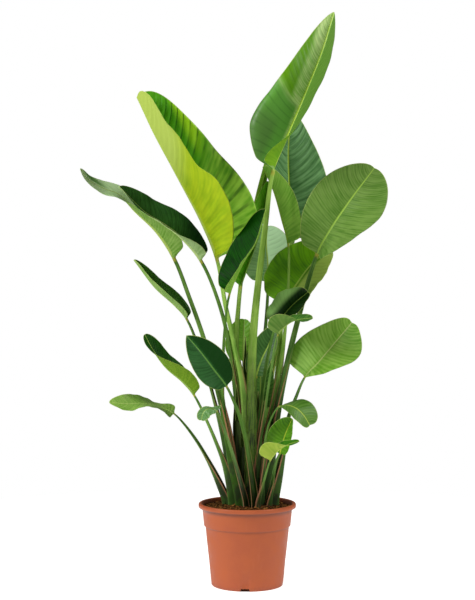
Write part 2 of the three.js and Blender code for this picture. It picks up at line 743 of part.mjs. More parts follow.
// The potting mix fills the pot, crowned towards the stalks and slightly lumpy on top.
function soilGeometry() {
  const inset = ([radius, height]) => [radius - CLEARANCE, height];
  const edge = COLLAR_RADIUS - POT_WALL - 0.8;
  const body = turned([
    [0, FLOOR + CLEARANCE],
    [FOOT_RADIUS - POT_WALL - 3.2, FLOOR + CLEARANCE],
    inset(INNER_FOOT),
    inset(INNER_STEP),
    inset(INNER_COLLAR),
    [edge, SOIL_EDGE - 3],
    [edge - 4, SOIL_EDGE],
    [edge * 0.78, SOIL_EDGE + 1],
    [edge * 0.5, SOIL_EDGE + 1],
    [0, SOIL_EDGE + 1],
  ]);
  const points = body.attributes.position;
  for (let i = 0; i < points.count; i += 1) {
    const x = points.getX(i);
    const y = points.getY(i);
    if (points.getZ(i) > SOIL_EDGE) {
      const crown = SOIL_CROWN * (1 - (x * x + y * y) / (edge * edge));
      const lump = SOIL_LUMP * Math.sin(x / 13 + 1) * Math.cos(y / 11);
      points.setZ(i, SOIL_EDGE + crown + lump);
    }
  }
  let soil = solidFrom(body);
  for (const leaf of LEAVES) {
    soil = soil.subtract(solidFrom(plugGeometry(leaf)));
  }
  return geometryFrom(soil);
}

// The plant in its pot

function piece(name, geometry, color, roughness) {
  const material = new THREE.MeshStandardMaterial({ color, roughness, metalness: 0 });
  const mesh = new THREE.Mesh(geometry, material);
  mesh.name = name;
  return mesh;
}

const plant = new THREE.Group();
plant.add(piece("pot", potGeometry(), TERRACOTTA, 0.6));
plant.add(piece("potting_mix", soilGeometry(), BARK, 0.95));
for (const leaf of LEAVES) {
  plant.add(piece(leaf.name, leafGeometry(leaf), leaf.colour, 0.45));
}

export default plant;
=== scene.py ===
# %% [markdown]
# # A potted bird of paradise
# A young giant bird of paradise stands in a terracotta-coloured plastic pot. Twenty-six leaves
# rise from it on long channelled stalks. The CAD model fixes where every leaf stands and
# how large it is. This script dresses it: it grows each leaf again on a much finer grid, with
# pleats, a raised rib and a waved margin, turns the pot, and spreads bark over the potting mix.

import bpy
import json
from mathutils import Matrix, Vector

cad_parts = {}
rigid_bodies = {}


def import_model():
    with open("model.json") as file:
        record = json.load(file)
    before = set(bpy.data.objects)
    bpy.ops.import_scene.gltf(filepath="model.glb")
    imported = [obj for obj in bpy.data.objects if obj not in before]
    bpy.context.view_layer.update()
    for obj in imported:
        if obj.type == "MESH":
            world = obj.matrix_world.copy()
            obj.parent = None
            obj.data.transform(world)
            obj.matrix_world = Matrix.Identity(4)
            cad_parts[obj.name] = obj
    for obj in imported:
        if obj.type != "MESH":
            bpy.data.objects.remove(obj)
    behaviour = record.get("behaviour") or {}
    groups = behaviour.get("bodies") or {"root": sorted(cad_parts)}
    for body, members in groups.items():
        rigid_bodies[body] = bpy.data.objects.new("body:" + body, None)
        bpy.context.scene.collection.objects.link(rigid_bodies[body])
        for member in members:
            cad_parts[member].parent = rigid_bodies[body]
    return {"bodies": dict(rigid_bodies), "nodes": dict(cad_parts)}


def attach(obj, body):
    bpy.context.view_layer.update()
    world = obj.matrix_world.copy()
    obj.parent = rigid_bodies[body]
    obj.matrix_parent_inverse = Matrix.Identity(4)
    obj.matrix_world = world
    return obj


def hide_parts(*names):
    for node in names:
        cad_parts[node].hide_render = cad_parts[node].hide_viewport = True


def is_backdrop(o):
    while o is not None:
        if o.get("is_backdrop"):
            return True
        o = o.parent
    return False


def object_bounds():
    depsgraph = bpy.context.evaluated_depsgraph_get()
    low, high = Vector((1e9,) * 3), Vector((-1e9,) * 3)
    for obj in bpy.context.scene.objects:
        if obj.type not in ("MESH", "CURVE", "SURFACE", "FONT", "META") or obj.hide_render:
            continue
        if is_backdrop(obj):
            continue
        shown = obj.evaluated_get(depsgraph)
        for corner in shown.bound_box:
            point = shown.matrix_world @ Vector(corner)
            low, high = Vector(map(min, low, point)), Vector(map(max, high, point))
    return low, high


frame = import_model()
cad_box = [list(corner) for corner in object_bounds()]
body = next(iter(frame["bodies"]))
print("body:", body, "nodes:", len(frame["nodes"]))

# %% Tools for the whole lesson
import json
import math
import random
from types import SimpleNamespace

import bmesh
import bpy
import numpy as np
from mathutils import Matrix, Vector, noise

MM = 0.001


def tone(code):
    """A colour as painters write it, #rrggbb, turned into the linear light that shaders use."""
    shares = [int(code[i:i + 2], 16) / 255 for i in (1, 3, 5)]
    light = [x / 12.92 if x <= 0.04045 else ((x + 0.055) / 1.055) ** 2.4 for x in shares]
    return (*light, 1.0)


def keep(name, shape, finish, slot=None, node=None):
    """Turn a finished bmesh into a piece of the plant with its material; a slot puts it on the body."""
    mesh = bpy.data.meshes.new(name)
    shape.to_mesh(mesh)
    shape.free()
    mesh.shade_smooth()
    piece = bpy.data.objects.new(name, mesh)
    bpy.context.scene.collection.objects.link(piece)
    mesh.materials.append(finish)
    if node:
        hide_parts(node)
    if slot:
        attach(piece, body)
    return piece


# %% [markdown]
# ## The camera
# The photograph was taken level, from a little over three metres, with a long lens, so that the
# pot's rim shows as a flat ellipse and the leaves keep their proportions. One pixel is 2.46 mm
# at the pot's axis, which gives the lens from the distance.

# %% The camera
DISTANCE = 3.2
PIXEL = 2.464 * MM
view_data = bpy.data.cameras.new("view")
view_data.lens = 36 * DISTANCE / (600 * PIXEL)
view = bpy.data.objects.new("view", view_data)
view.location = (-0.024, -DISTANCE, 0.70)
view.rotation_euler = (math.pi / 2, 0, 0)
bpy.context.scene.collection.objects.link(view)
bpy.context.scene.camera = view
print("lens:", round(view_data.lens, 1), "mm")

# %% [markdown]
# ## Nodes without tangles
# A material is a tree of small nodes. A few helpers keep the trees readable: one adds a node and
# fills its sockets, others do arithmetic, and one mixes two colours by a mask. A mask is a number
# from 0 to 1 that says where on the surface something shows.


# %% Helpers for materials
def add(tree, kind, sockets=(), **settings):
    """Add a node, set its menu choices, then fill its sockets with values or links."""
    node = tree.nodes.new(kind)
    for key, value in settings.items():
        setattr(node, key, value)
    for key, value in dict(sockets).items():
        if isinstance(value, bpy.types.NodeSocket):
            tree.links.new(value, node.inputs[key])
        else:
            node.inputs[key].default_value = value
    return node


def maths(tree, operation, a, b=0.0, c=0.0):
    return add(tree, "ShaderNodeMath", {0: a, 1: b, 2: c}, operation=operation).outputs[0]


def product(tree, a, b):
    return maths(tree, "MULTIPLY", a, b)


def mask(tree, value, none, full):
    """0 where the value is at none, 1 where it is at full, and smooth in between."""
    span = {"Value": value, "From Min": none, "From Max": full}
    return add(tree, "ShaderNodeMapRange", span, interpolation_type="SMOOTHSTEP").outputs[0]


def mixed(tree, share, first, second, way="MIX"):
    """The first colour where share is 0, the second where it is 1."""
    node = add(tree, "ShaderNodeMix", data_type="RGBA", blend_type=way)
    for key, value in ((0, share), (6, first), (7, second)):
        if isinstance(value, bpy.types.NodeSocket):
            tree.links.new(value, node.inputs[key])
        else:
            node.inputs[key].default_value = value
    return node.outputs[2]


def speckle(tree, where, scale, detail=3.0, roughness=0.55):
    """Cloudy noise from 0 to 1 at the given place."""
    cloud = {"Vector": where, "Scale": scale, "Detail": detail, "Roughness": roughness}
    return add(tree, "ShaderNodeTexNoise", cloud).outputs["Fac"]


def new_finish(name):
    """A material with one Principled shader. Returns the material, its tree and the shader."""
    material = bpy.data.materials.new(name)
    material.use_nodes = True
    tree = material.node_tree
    return material, tree, tree.nodes["Principled BSDF"]


# %% [markdown]
# ## Floor and light
# A plain studio: a pale floor, one large soft light high on the left that models the leaves, and a
# weaker one on the right that edges them. The world lights the plant only dimly, so that the gaps
# between its stalks stay dark, but looks white to the camera, as a lit paper roll does. The floor
# glows a little for the same reason, but not right under the pot, where the notches would show it.


# %% Floor and light
def softbox(name, place, aim, size, power):
    """A square area light that looks from its place to its aim, both in metres."""
    data = bpy.data.lights.new(name, "AREA")
    data.shape = "SQUARE"
    data.size = size
    data.energy = power
    lamp = bpy.data.objects.new(name, data)
    lamp.location = place
    lamp.rotation_euler = (Vector(aim) - Vector(place)).to_track_quat("-Z", "Y").to_euler()
    bpy.context.scene.collection.objects.link(lamp)
    print(name, "at", place, "m,", power, "W")


softbox("key_light", (-3.0, -1.5, 2.4), (0, 0, 0.7), 1.5, 125)
softbox("fill_light", (2.4, -1.3, 3.0), (0, 0, 0.9), 1.5, 85)

world = bpy.data.worlds.new("studio")
bpy.context.scene.world = world
world.use_nodes = True
sky = world.node_tree
dim = sky.nodes["Background"]
dim.inputs["Color"].default_value = (1.0, 0.98, 0.94, 1)
dim.inputs["Strength"].default_value = 0.2
paper = add(sky, "ShaderNodeBackground", {"Color": (1, 1, 1, 1), "Strength": 1.0})
seen = add(sky, "ShaderNodeLightPath").outputs["Is Camera Ray"]
both = add(sky, "ShaderNodeMixShader", {0: seen, 1: dim.outputs[0], 2: paper.outputs[0]})
sky.links.new(both.outputs[0], sky.nodes["World Output"].inputs["Surface"])
bpy.context.scene.view_settings.view_transform = "Standard"

# %% The floor
FLOOR_RADIUS = 1.6
DARK_UNDER_POT = 0.08, 0.087
FLOOR_GLOW = 0.66
finish, tree, shader = new_finish("floor_paint")
place = add(tree, "ShaderNodeTexCoord").outputs["Object"]
paint = mixed(tree, speckle(tree, place, 3.0), (0.83, 0.83, 0.83, 1), (0.86, 0.86, 0.86, 1))
tree.links.new(paint, shader.inputs["Base Color"])
shader.inputs["Roughness"].default_value = 0.8
shader.inputs["Emission Color"].default_value = (1, 1, 1, 1)
away = add(tree, "ShaderNodeVectorMath", {0: place}, operation="LENGTH").outputs["Value"]
glow = product(tree, mask(tree, away, *DARK_UNDER_POT), FLOOR_GLOW)
tree.links.new(glow, shader.inputs["Emission Strength"])
shape = bmesh.new()
bmesh.ops.create_circle(shape, cap_ends=True, segments=96, radius=FLOOR_RADIUS)
floor = keep("floor", shape, finish)
floor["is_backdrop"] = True
print("floor radius:", FLOOR_RADIUS, "m")

# %% [markdown]
# ## Where every leaf stands
# The points follow the CAD source, in millimetres, so that each fine leaf lies where its solid
# lies. A stalk runs from the soil to the neck, and a rib from the neck to the tip. Faces say which
# way the upper side looks at the root, at the neck and on to the tip. From neck to tip, wide holds
# the half-widths left and right of the rib, fold and curl say by how many degrees the two halves
# rise from the rib and bend on towards their edge, and lip how far the outer quarter is rolled
# besides. Thick is the stalk's half-width and depth at the root and its half-width at the neck.
# Pleat is the spacing and depth of the pleats. Wave is how far the margin waves, full where along
# the blade it is widest, blunt how pointed its ends are, with less for rounder ones, and lean how
# much the side veins lean towards the tip. What a leaf leaves out is as on a plain leaf.

# %% The leaf table
PLAIN_LEAF = dict(curl=[(0, 0)], lip=[(0, 0)], wave=1, full=0.4, blunt=0.6, lean=0.5)
LEAVES = {
    "leaf_top": dict(
        stalk=[(7, -10, 201), (9, -18, 357), (13, -36, 590), (26, -46, 736), (45, -54, 889),
            (62, -60, 1009)],
        rib=[(98, -62, 1098), (142, -54, 1204), (182, -38, 1306), (212, -20, 1405)],
        faces=[(0, -1, 0), (-0.1, -1, 0.1), (0, -0.95, 0.25), (0, -0.9, 0.4)],
        wide=[(72, 98), (104, 98), (77, 98), (76, 98), (86, 98)],
        fold=[(5, 105), (10, 71), (22, 64), (18, 62), (8, 58)],
        curl=[(5, 30), (5, 15), (0, 8), (0, 5), (0, 0)],
        lip=[(0, 0), (-60, 0), (-80, 0), (-10, 0), (0, 0), (60, 60)],
        thick=(13, 10, 4.5), wave=2, full=0.35, blunt=0.8, pleat=(17, 0.3), lean=0.4),
    "leaf_tall_left": dict(
        stalk=[(1, 14, 198), (-2, 14, 354), (-9, 12, 490), (-29, 10, 589), (-52, 6, 688),
            (-73, 0, 800)],
        rib=[(-108, -4, 887), (-172, -10, 1007), (-229, -16, 1111), (-270, -20, 1197)],
        faces=[(1, 0, 0), (0.9, -0.1, 0.44), (0.9, -0.1, 0.44)],
        wide=[(72, 150), (106, 146), (146, 140), (170, 128), (128, 115), (152, 112), (148, 110),
            (148, 112), (140, 115)],
        fold=[(44, 78), (36, 82), (28, 80), (27, 84), (28, 84)],
        curl=[(4, 0), (4, 0), (4, 0), (4, 0), (4, 0)],
        lip=[(10, 0), (0, 0), (-20, 0), (-30, 0), (-10, 0)],
        thick=(12, 11.5, 6), wave=3, blunt=0.45, pleat=(25, 1.15), lean=0.62),
    "leaf_reach_front": dict(
        stalk=[(-13, 34, 194), (-18, 38, 351), (-28, 38, 476), (-43, 36, 588), (-67, 20, 688),
            (-112, -5, 796)],
        rib=[(-163, -14, 855), (-209, -18, 889), (-249, -20, 914), (-313, -22, 977)],
        faces=[(1, 0, 0), (0.55, -0.15, 0.8), (0.48, -0.37, 0.79), (0.5, -0.4, 0.77)],
        wide=[(46, 60), (58, 62)], fold=[(40, 38), (20, 28), (20, 24), (24, 22)],
        curl=[(20, 0), (0, 0), (0, 0), (0, 0)],
        thick=(9, 9, 5.5), wave=2, pleat=(11, 0.4)),
    "leaf_reach_back": dict(
        stalk=[(-28, 14, 198), (-40, 14, 292), (-51, 17, 378), (-65, 22, 448), (-105, 34, 599),
            (-145, 46, 711), (-181, 57, 802)],
        rib=[(-226, 63, 871), (-281, 60, 924), (-320, 54, 964), (-363, 46, 981), (-396, 38, 1001),
            (-415, 32, 1027)],
        faces=[(1, 0, 0), (0.73, 0.34, 0.59), (0.6, 0.1, 0.75), (0.4, -0.34, 0.86),
            (0.3, -0.4, 0.86)],
        wide=[(58, 62), (58, 62), (40, 42)], fold=[(42, 35), (25, 20), (2, 8), (0, 8)],
        curl=[(10, 0), (0, 0), (0, 0), (0, 0)],
        thick=(9, 9, 5.5), wave=1.5, pleat=(8, 0.4)),
    "leaf_narrow_left": dict(
        stalk=[(-38, 34, 194), (-45, 35, 252), (-54, 36, 326), (-69, 36, 401), (-85, 37, 466),
            (-110, 39, 550), (-150, 42, 652)],
        rib=[(-178, 42, 685), (-230, 40, 732), (-282, 36, 800)],
        faces=[(1, 0, 0), (0.71, -0.31, 0.64), (0.71, -0.31, 0.64)],
        wide=[(34, 34)], fold=[(40, 35), (35, 30), (35, 28)],
        thick=(7.5, 7, 3.6), pleat=(7, 0.2)),
    "leaf_folded_left": dict(
        stalk=[(-40, -6, 201), (-45, -8, 245), (-57, -12, 302), (-74, -16, 349), (-94, -20, 396),
            (-129, -24, 467)],
        rib=[(-157, -26, 500), (-199, -28, 536), (-230, -32, 578), (-250, -36, 616)],
        faces=[(1, 0, 0), (0.76, 0.17, 0.62), (0.74, -0.26, 0.6), (0.54, -0.7, 0.45)],
        wide=[(34, 40), (42, 44), (44, 44)], fold=[(58, 40), (50, 30), (34, 15), (10, 10)],
        curl=[(20, 0), (10, 0), (0, 0), (0, 0)],
        thick=(9, 8, 3.6), wave=1.5, pleat=(7, 0.25)),
    "leaf_dark_oval": dict(
        stalk=[(15, -32, 205), (5, -44, 299), (-8, -56, 380), (-23, -66, 430), (-50, -86, 492)],
        rib=[(-78, -92, 530), (-114, -96, 578), (-146, -94, 615)],
        faces=[(0.3, -1, 0), (0.3, -1, 0.3), (0.2, -1, 0.2)],
        wide=[(44, 44)], fold=[(12, 12), (8, 8), (10, 10)],
        thick=(7.5, 7, 2.8), blunt=0.85, pleat=(7, 0.08)),
    "leaf_low_left": dict(
        stalk=[(-56, 10, 198), (-70, 8, 241), (-92, 4, 295), (-118, 0, 343), (-152, -6, 391),
            (-179, -10, 420)],
        rib=[(-204, -14, 434), (-231, -20, 443), (-260, -26, 448), (-290, -32, 447),
            (-336, -38, 451)],
        faces=[(1, 0, 0), (0.1, -0.6, 0.8), (0, 0.02, 1), (0, -0.7, 0.7), (0, -0.75, 0.65)],
        wide=[(33, 33)], fold=[(-5, 20), (-5, 10), (8, 8), (15, 15)],
        curl=[(0, 0), (0, 0), (10, 10), (10, 10)],
        thick=(8, 6, 2), wave=3, pleat=(7, 0.3)),
    "leaf_small_curled": dict(
        stalk=[(-7, -34, 205), (-18, -46, 258), (-32, -56, 313), (-47, -64, 362), (-61, -72, 401),
            (-73, -78, 432)],
        rib=[(-88, -82, 440), (-100, -86, 437), (-107, -88, 428), (-111, -88, 412)],
        faces=[(0.5, -1, 0), (-0.1, -1, 0.6), (0.1, -1, 0.3)],
        wide=[(10, 28), (16, 6), (20, 8), (22, 16), (20, 20)],
        fold=[(10, 5), (10, 75), (10, 25), (10, 10), (10, 10)],
        curl=[(0, 0), (0, 0), (0, 10), (0, 0), (0, 0)],
        thick=(6, 6, 1.8), blunt=0.45, pleat=(6, 0.3)),
    "leaf_dark_centre": dict(
        stalk=[(-23, -22, 203), (-40, -24, 296), (-53, -28, 382), (-61, -34, 456), (-60, -44, 554),
            (-55, -64, 639), (-44, -92, 714)],
        rib=[(-14, -106, 784), (20, -108, 840), (43, -104, 916)],
        faces=[(1, 0, 0), (-0.85, -0.2, 0.45), (-0.85, -0.2, 0.45)],
        wide=[(48, 46), (66, 34), (68, 32)], fold=[(62, 38), (36, 16), (35, 14), (37, 14)],
        thick=(7.5, 7, 3.5), wave=1.5, pleat=(9, 0.45)),
    "leaf_behind_centre": dict(
        stalk=[(-10, 52, 192), (-10, 52, 349), (-20, 52, 487), (-28, 50, 607), (-23, 48, 675),
            (-16, 46, 732)],
        rib=[(2, 46, 785), (25, 46, 850), (42, 46, 925), (53, 46, 997)],
        faces=[(1, 0, 0), (-0.4, -0.8, 0.3), (-0.3, -0.9, 0.2)],
        wide=[(44, 30)], fold=[(62, 60), (60, 60), (60, 60)],
        thick=(7, 7, 4), pleat=(9, 0.5)),
    "leaf_rolled": dict(
        stalk=[(-24, 72, 188), (-26, 76, 348), (-27, 76, 524), (-20, 78, 700), (-4, 80, 826)],
        rib=[(12, 82, 909), (27, 84, 978), (42, 84, 1036), (55, 82, 1091)],
        faces=[(1, 0, 0), (0.7, -0.7, 0.1), (0.7, -0.7, 0.1)],
        wide=[(22, 22)], fold=[(70, 70), (75, 75), (75, 75)],
        curl=[(60, 60), (70, 70), (60, 60)],
        thick=(7, 7, 5), wave=0, pleat=(8, 0.1), lean=0.4),
    "leaf_pale_back": dict(
        stalk=[(5, 80, 188), (13, 92, 346), (31, 106, 497), (47, 126, 623), (55, 146, 746)],
        rib=[(54, 156, 798), (51, 170, 848), (55, 186, 893)],
        faces=[(0, -1, 0), (0, -0.9, 0.4), (0, -0.75, 0.65), (0, -0.7, 0.7)],
        wide=[(66, 70)], fold=[(20, 20), (10, 10), (5, 5)],
        curl=[(0, 0), (0, 0), (-10, -10)],
        thick=(7, 7, 3.5), wave=2, pleat=(14, 0.5)),
    "leaf_mid_right": dict(
        stalk=[(37, 34, 194), (47, 34, 326), (67, 36, 451), (79, 38, 550), (85, 40, 630),
            (87, 42, 690)],
        rib=[(110, 48, 720), (161, 58, 789), (209, 66, 829)],
        faces=[(-1, 0, 0), (-0.3, -0.85, 0.45), (-0.25, -0.85, 0.5)],
        wide=[(88, 60)], fold=[(10, 18), (8, 12), (5, 5)], curl=[(0, 5), (5, 5), (0, 0)],
        thick=(9, 8, 4), wave=3.5, pleat=(12, 0.35)),
    "leaf_cupped_right": dict(
        stalk=[(22, 12, 198), (24, 8, 329), (33, -6, 432), (43, -18, 519), (57, -30, 593),
            (70, -40, 639)],
        rib=[(89, -48, 664), (112, -54, 690), (147, -50, 719)],
        faces=[(-1, 0, 0), (-0.3, -0.8, 0.5), (-0.3, -0.8, 0.5)],
        wide=[(48, 46)], fold=[(70, 45), (78, 45), (66, 35)],
        curl=[(-80, -30), (-95, -30), (-70, -20)],
        thick=(7, 7, 3), wave=3, pleat=(8, 0.25)),
    "leaf_small_twisted": dict(
        stalk=[(24, -12, 202), (25, -14, 258), (31, -24, 348), (43, -42, 442), (56, -72, 530),
            (72, -108, 618)],
        rib=[(85, -112, 634), (107, -118, 650), (154, -124, 658)],
        faces=[(-1, 0, 0), (-0.5, -0.1, 0.85), (-0.4, -0.2, 0.9), (-0.1, -0.5, 0.85)],
        wide=[(28, 46)], fold=[(25, 80), (20, 52), (12, 12), (15, 20)],
        curl=[(0, 20), (0, 10), (0, 0), (0, 0)],
        thick=(6.5, 6, 2.5), pleat=(7, 0.25)),
    "leaf_dark_inner": dict(
        stalk=[(17, 34, 195), (18, 32, 327), (21, 28, 427), (23, 24, 509)],
        rib=[(37, 22, 555), (52, 22, 586), (72, 22, 635)],
        faces=[(-1, 0, 0), (-0.2, -1, 0.2), (-0.2, -1, 0.2)],
        wide=[(38, 26)], fold=[(10, 20), (10, 20), (10, 20)],
        thick=(6, 6, 3), pleat=(8, 0.3)),
    "leaf_bright_inner": dict(
        stalk=[(6, 56, 191), (3, 68, 318), (-4, 84, 448), (-9, 96, 545)],
        rib=[(-9, 104, 587), (-7, 118, 651)],
        faces=[(0, -1, 0), (0, -1, 0.3), (0, -0.9, 0.4)],
        wide=[(46, 32)], fold=[(15, 15), (15, 15), (15, 15)],
        thick=(6, 6, 3), pleat=(12, 0.4)),
    "leaf_large_right": dict(
        stalk=[(54, 6, 199), (59, 2, 281), (71, -6, 395), (85, -8, 481), (106, -8, 577),
            (132, -12, 678), (169, -48, 810)],
        rib=[(200, -60, 869), (248, -64, 941), (307, -60, 1019)],
        faces=[(-1, 0, 0), (-0.3, -0.9, 0.2), (-0.2, -0.95, 0.25)],
        wide=[(66, 104), (82, 106), (92, 106), (88, 102)],
        fold=[(10, 62), (8, 38), (8, 12), (5, 0)], curl=[(5, 0), (5, 0), (5, 0), (0, 0)],
        thick=(10, 9, 4.5), wave=2, pleat=(11, 0.35), lean=0.45),
    "leaf_tall_back": dict(
        stalk=[(25, 62, 190), (38, 84, 346), (64, 98, 522), (92, 108, 675), (115, 118, 853)],
        rib=[(109, 122, 969), (106, 122, 1084), (113, 116, 1183)],
        faces=[(-1, 0, 0), (0, -1, 0.15), (0, -1, 0.25)],
        wide=[(88, 102)], fold=[(74, 15), (70, 12), (52, 10), (30, 10), (12, 10)],
        curl=[(0, 0), (5, 5), (10, 10)],
        thick=(9, 8, 5), wave=2, full=0.3, blunt=0.75, pleat=(20, 1.3), lean=0.6),
    "leaf_half_folded": dict(
        stalk=[(38, 12, 198), (46, 10, 329), (66, 6, 453), (85, 2, 551), (95, -2, 637),
            (102, -4, 736), (102, 4, 837)],
        rib=[(87, 12, 898), (67, 18, 967), (39, 16, 1030)],
        faces=[(-1, 0, 0), (0.9, 0.1, 0.3), (0.9, 0.1, 0.3)],
        wide=[(60, 60)], fold=[(38, 30), (38, 30), (36, 30)], curl=[(8, 0), (5, 0), (5, 0)],
        thick=(8, 7, 3.5), pleat=(8, 0.25)),
    "leaf_round_right": dict(
        stalk=[(71, 8, 199), (81, 4, 266), (91, -2, 340), (100, -6, 405), (120, -12, 462),
            (141, -20, 511)],
        rib=[(174, -26, 548), (215, -30, 597), (255, -32, 645)],
        faces=[(-1, 0, 0), (-0.3, -0.85, 0.45), (-0.2, -0.9, 0.35)],
        wide=[(84, 64), (76, 72), (60, 84), (50, 52)],
        fold=[(8, 66), (8, 36), (8, 10), (5, 0)],
        thick=(8.5, 8, 2.6), wave=1.5, blunt=0.42, pleat=(8, 0.25), lean=0.45),
    "leaf_small_right": dict(
        stalk=[(37, -14, 202), (39, -24, 284), (46, -38, 371), (56, -50, 409), (77, -64, 443)],
        rib=[(95, -68, 447), (118, -72, 439), (135, -76, 423), (150, -76, 399)],
        faces=[(-1, 0, 0), (0, -0.5, 0.85), (0.1, -0.8, 0.6), (0.3, -0.9, 0.3)],
        wide=[(30, 26), (38, 28), (42, 28), (44, 30)],
        fold=[(-38, 25), (-32, 12), (-10, 8), (0, 8), (0, 8)],
        curl=[(0, 20), (0, 10), (0, 0), (0, 0), (0, 0)],
        thick=(6, 6, 2), blunt=0.4, pleat=(7, 0.25)),
    "leaf_low_inner": dict(
        stalk=[(56, -16, 202), (63, -20, 264), (72, -28, 309), (79, -32, 325)],
        rib=[(84, -34, 345), (93, -36, 374), (109, -36, 411)],
        faces=[(-1, 0, 0), (-0.2, -0.95, 0.2), (-0.2, -0.9, 0.3)],
        wide=[(40, 28)], fold=[(5, 35), (10, 40), (25, 50)],
        thick=(6.5, 6, 2.4), pleat=(7, 0.3)),
    "leaf_low_curled": dict(
        stalk=[(28, -38, 205), (35, -56, 246), (44, -78, 283), (54, -94, 316)],
        rib=[(69, -98, 337), (89, -102, 352), (123, -104, 364)],
        faces=[(-1, 0, 0), (-0.6, -0.1, 0.8), (-0.5, -0.15, 0.85), (-0.1, -0.2, 0.95)],
        wide=[(24, 44)], fold=[(25, 78), (20, 55), (12, 12), (15, 12)],
        curl=[(0, 20), (0, 10), (0, 0), (0, 0)],
        thick=(5.5, 5.5, 2.2), pleat=(7, 0.2)),
    "leaf_back_low": dict(
        stalk=[(50, 46, 192), (46, 54, 274), (40, 60, 374), (36, 66, 423)],
        rib=[(34, 70, 468), (35, 76, 523), (38, 80, 579)],
        faces=[(0, -1, 0), (0, -1, 0.1), (0, -1, 0.2)],
        wide=[(40, 34)], fold=[(20, 20), (15, 15), (15, 15)],
        thick=(6, 6, 3), pleat=(8, 0.5)),
}
print("leaves:", len(LEAVES))

# %% [markdown]
# ## How a leaf is grown
# A real leaf is one sheet that is rolled into a stalk below and opens into a blade above. It could
# be cut from a flat plane and bent with curves, but then stalk and blade would have to be joined.
# Here one grid is wrapped once round the leaf instead: its columns run round the section, over the
# upper side and back along the underside, and its rows run from the root to the tip. The rows of
# the blade follow the side veins, which lean towards the tip, so a pleat is simply a row that
# stands higher than the next. First come the middle line and the way that the leaf faces.

# %% The middle line of a leaf
ROOT_LEVEL = 160
STEPS = 60


def smooth(x, none, full):
    """0 at none, 1 at full and an even S-shaped rise in between."""
    share = np.clip((x - none) / (full - none), 0, 1)
    return share * share * (3 - 2 * share)


def track(keys, q):
    """Read evenly spaced keys at q from 0 to 1, on a smooth curve through them."""
    keys = np.array(keys, float)
    last = len(keys) - 1
    low = np.clip((q * last).astype(int), 0, max(last - 1, 0))
    f = (q * last - low)[..., None]
    a, b, c, d = (keys[np.clip(low + step, 0, last)] for step in (-1, 0, 1, 2))
    return b + 0.5 * f * (c - a + f * (2 * a - 5 * b + 4 * c - d + f * (3 * (b - c) + d - a)))


def leaf_line(leaf):
    """Points along the leaf, how far along each one lies, and how far along the neck lies."""
    x, y, _ = leaf["stalk"][0]
    route = np.array([(x, y, ROOT_LEVEL), *leaf["stalk"], *leaf["rib"]], float)
    route = np.vstack([2 * route[0] - route[1], route, 2 * route[-1] - route[-2]])
    spans = np.linalg.norm(np.diff(route, axis=0), axis=1) ** 0.5
    f = np.linspace(0, 1, STEPS, endpoint=False)[:, None]
    runs = []
    for i in range(1, len(route) - 2):
        before, start, end, after = route[i - 1:i + 3]
        d0, d1, d2 = spans[i - 1:i + 2]
        leave = d1 * ((start - before) / d0 - (end - before) / (d0 + d1)) + end - start
        reach = d1 * ((after - end) / d2 - (after - start) / (d1 + d2)) + end - start
        rise = 3 * (end - start) - 2 * leave - reach
        runs.append(start + f * leave + f ** 2 * rise + f ** 3 * (leave + reach - 2 * (end - start)))
    points = np.vstack([*runs, route[-2:-1]])
    gone = np.append(0, np.cumsum(np.linalg.norm(np.diff(points, axis=0), axis=1)))
    return points, gone, gone[STEPS * len(leaf["stalk"])]


def unit(vectors):
    return vectors / np.linalg.norm(vectors, axis=-1, keepdims=True)


def stand(leaf, line, s, q):
    """Middle, and directions along, up and right, at stalk share s and blade share q."""
    points, gone, neck = line
    place = np.where(q > 0, neck + (gone[-1] - neck) * q, neck * s)
    slopes = np.gradient(points, gone, axis=0)
    read = lambda table: np.stack([np.interp(place, gone, table[:, i]) for i in range(3)], -1)
    middle, along = read(points), unit(read(slopes))
    face = np.where((q > 0)[..., None], track(leaf["faces"][1:], q), track(leaf["faces"][:2], s))
    up = unit(face - (face * along).sum(-1, keepdims=True) * along)
    return middle, along, up, np.cross(along, up)


# %% [markdown]
# ## The section of the stalk and the blade
# The stalk is a deep channel: hollow above and round below. Near the soil its edges rise into a
# sheath that wraps the next stalk. The blade's two halves rise from the rib, so that a leaf is a
# shallow or a deep V, and their edges wave. Below, the rib stands out as a keel. Both sections are
# written for every point of the grid at once, and close to the neck one turns into the other.

# %% The section of the stalk
CHANNEL_RISE = 0.4
SHEATH_WALL = 1.7


def stalk_section(leaf, s, column, under):
    """How far right of the middle and above it a point of the stalk's section lies."""
    root_half, root_depth, neck_half = leaf["thick"]
    ease = 1 - s ** 1.5
    half = neck_half + (root_half - neck_half) * ease
    depth = neck_half + (root_depth - neck_half) * ease
    turn = column * math.pi / 2
    edge = depth * CHANNEL_RISE * np.abs(column) ** np.where(under, 6, 2)
    wall = SHEATH_WALL * root_half * smooth(s, 0.62, 0.1) * smooth(np.abs(column), 0.45, 1)
    raised = edge + wall - np.where(under, depth * np.cos(turn), 0)
    return half * (1 + 0.2 * smooth(s, 0.6, 0.1)) * np.sin(turn), raised, half


# %% The section of the blade
BLADE_THICKNESS = 1.0
RIB_TIP_HALF = 1.2
NECK_SWEEP = -0.25
TIP_SWEEP = 0.4
RIPPLES = 2.4
FRILLS = 17, 31
LIP_START = 0.72
KEEL_DEPTH = 1.6


def outline(leaf, q):
    """The blade's half-width as a share: round at the neck and pointed at the tip."""
    power = math.log(0.5) / math.log(leaf["full"])
    return np.sin(math.pi * np.clip(q, 0, 1) ** power).clip(0) ** leaf["blunt"]


def bent(size, start, turn):
    """Where a strip ends that sets off at angle start and turns evenly by turn on its way."""
    chord = size * np.sinc(turn / (2 * math.pi))
    return chord * np.cos(start + turn / 2), chord * np.sin(start + turn / 2)


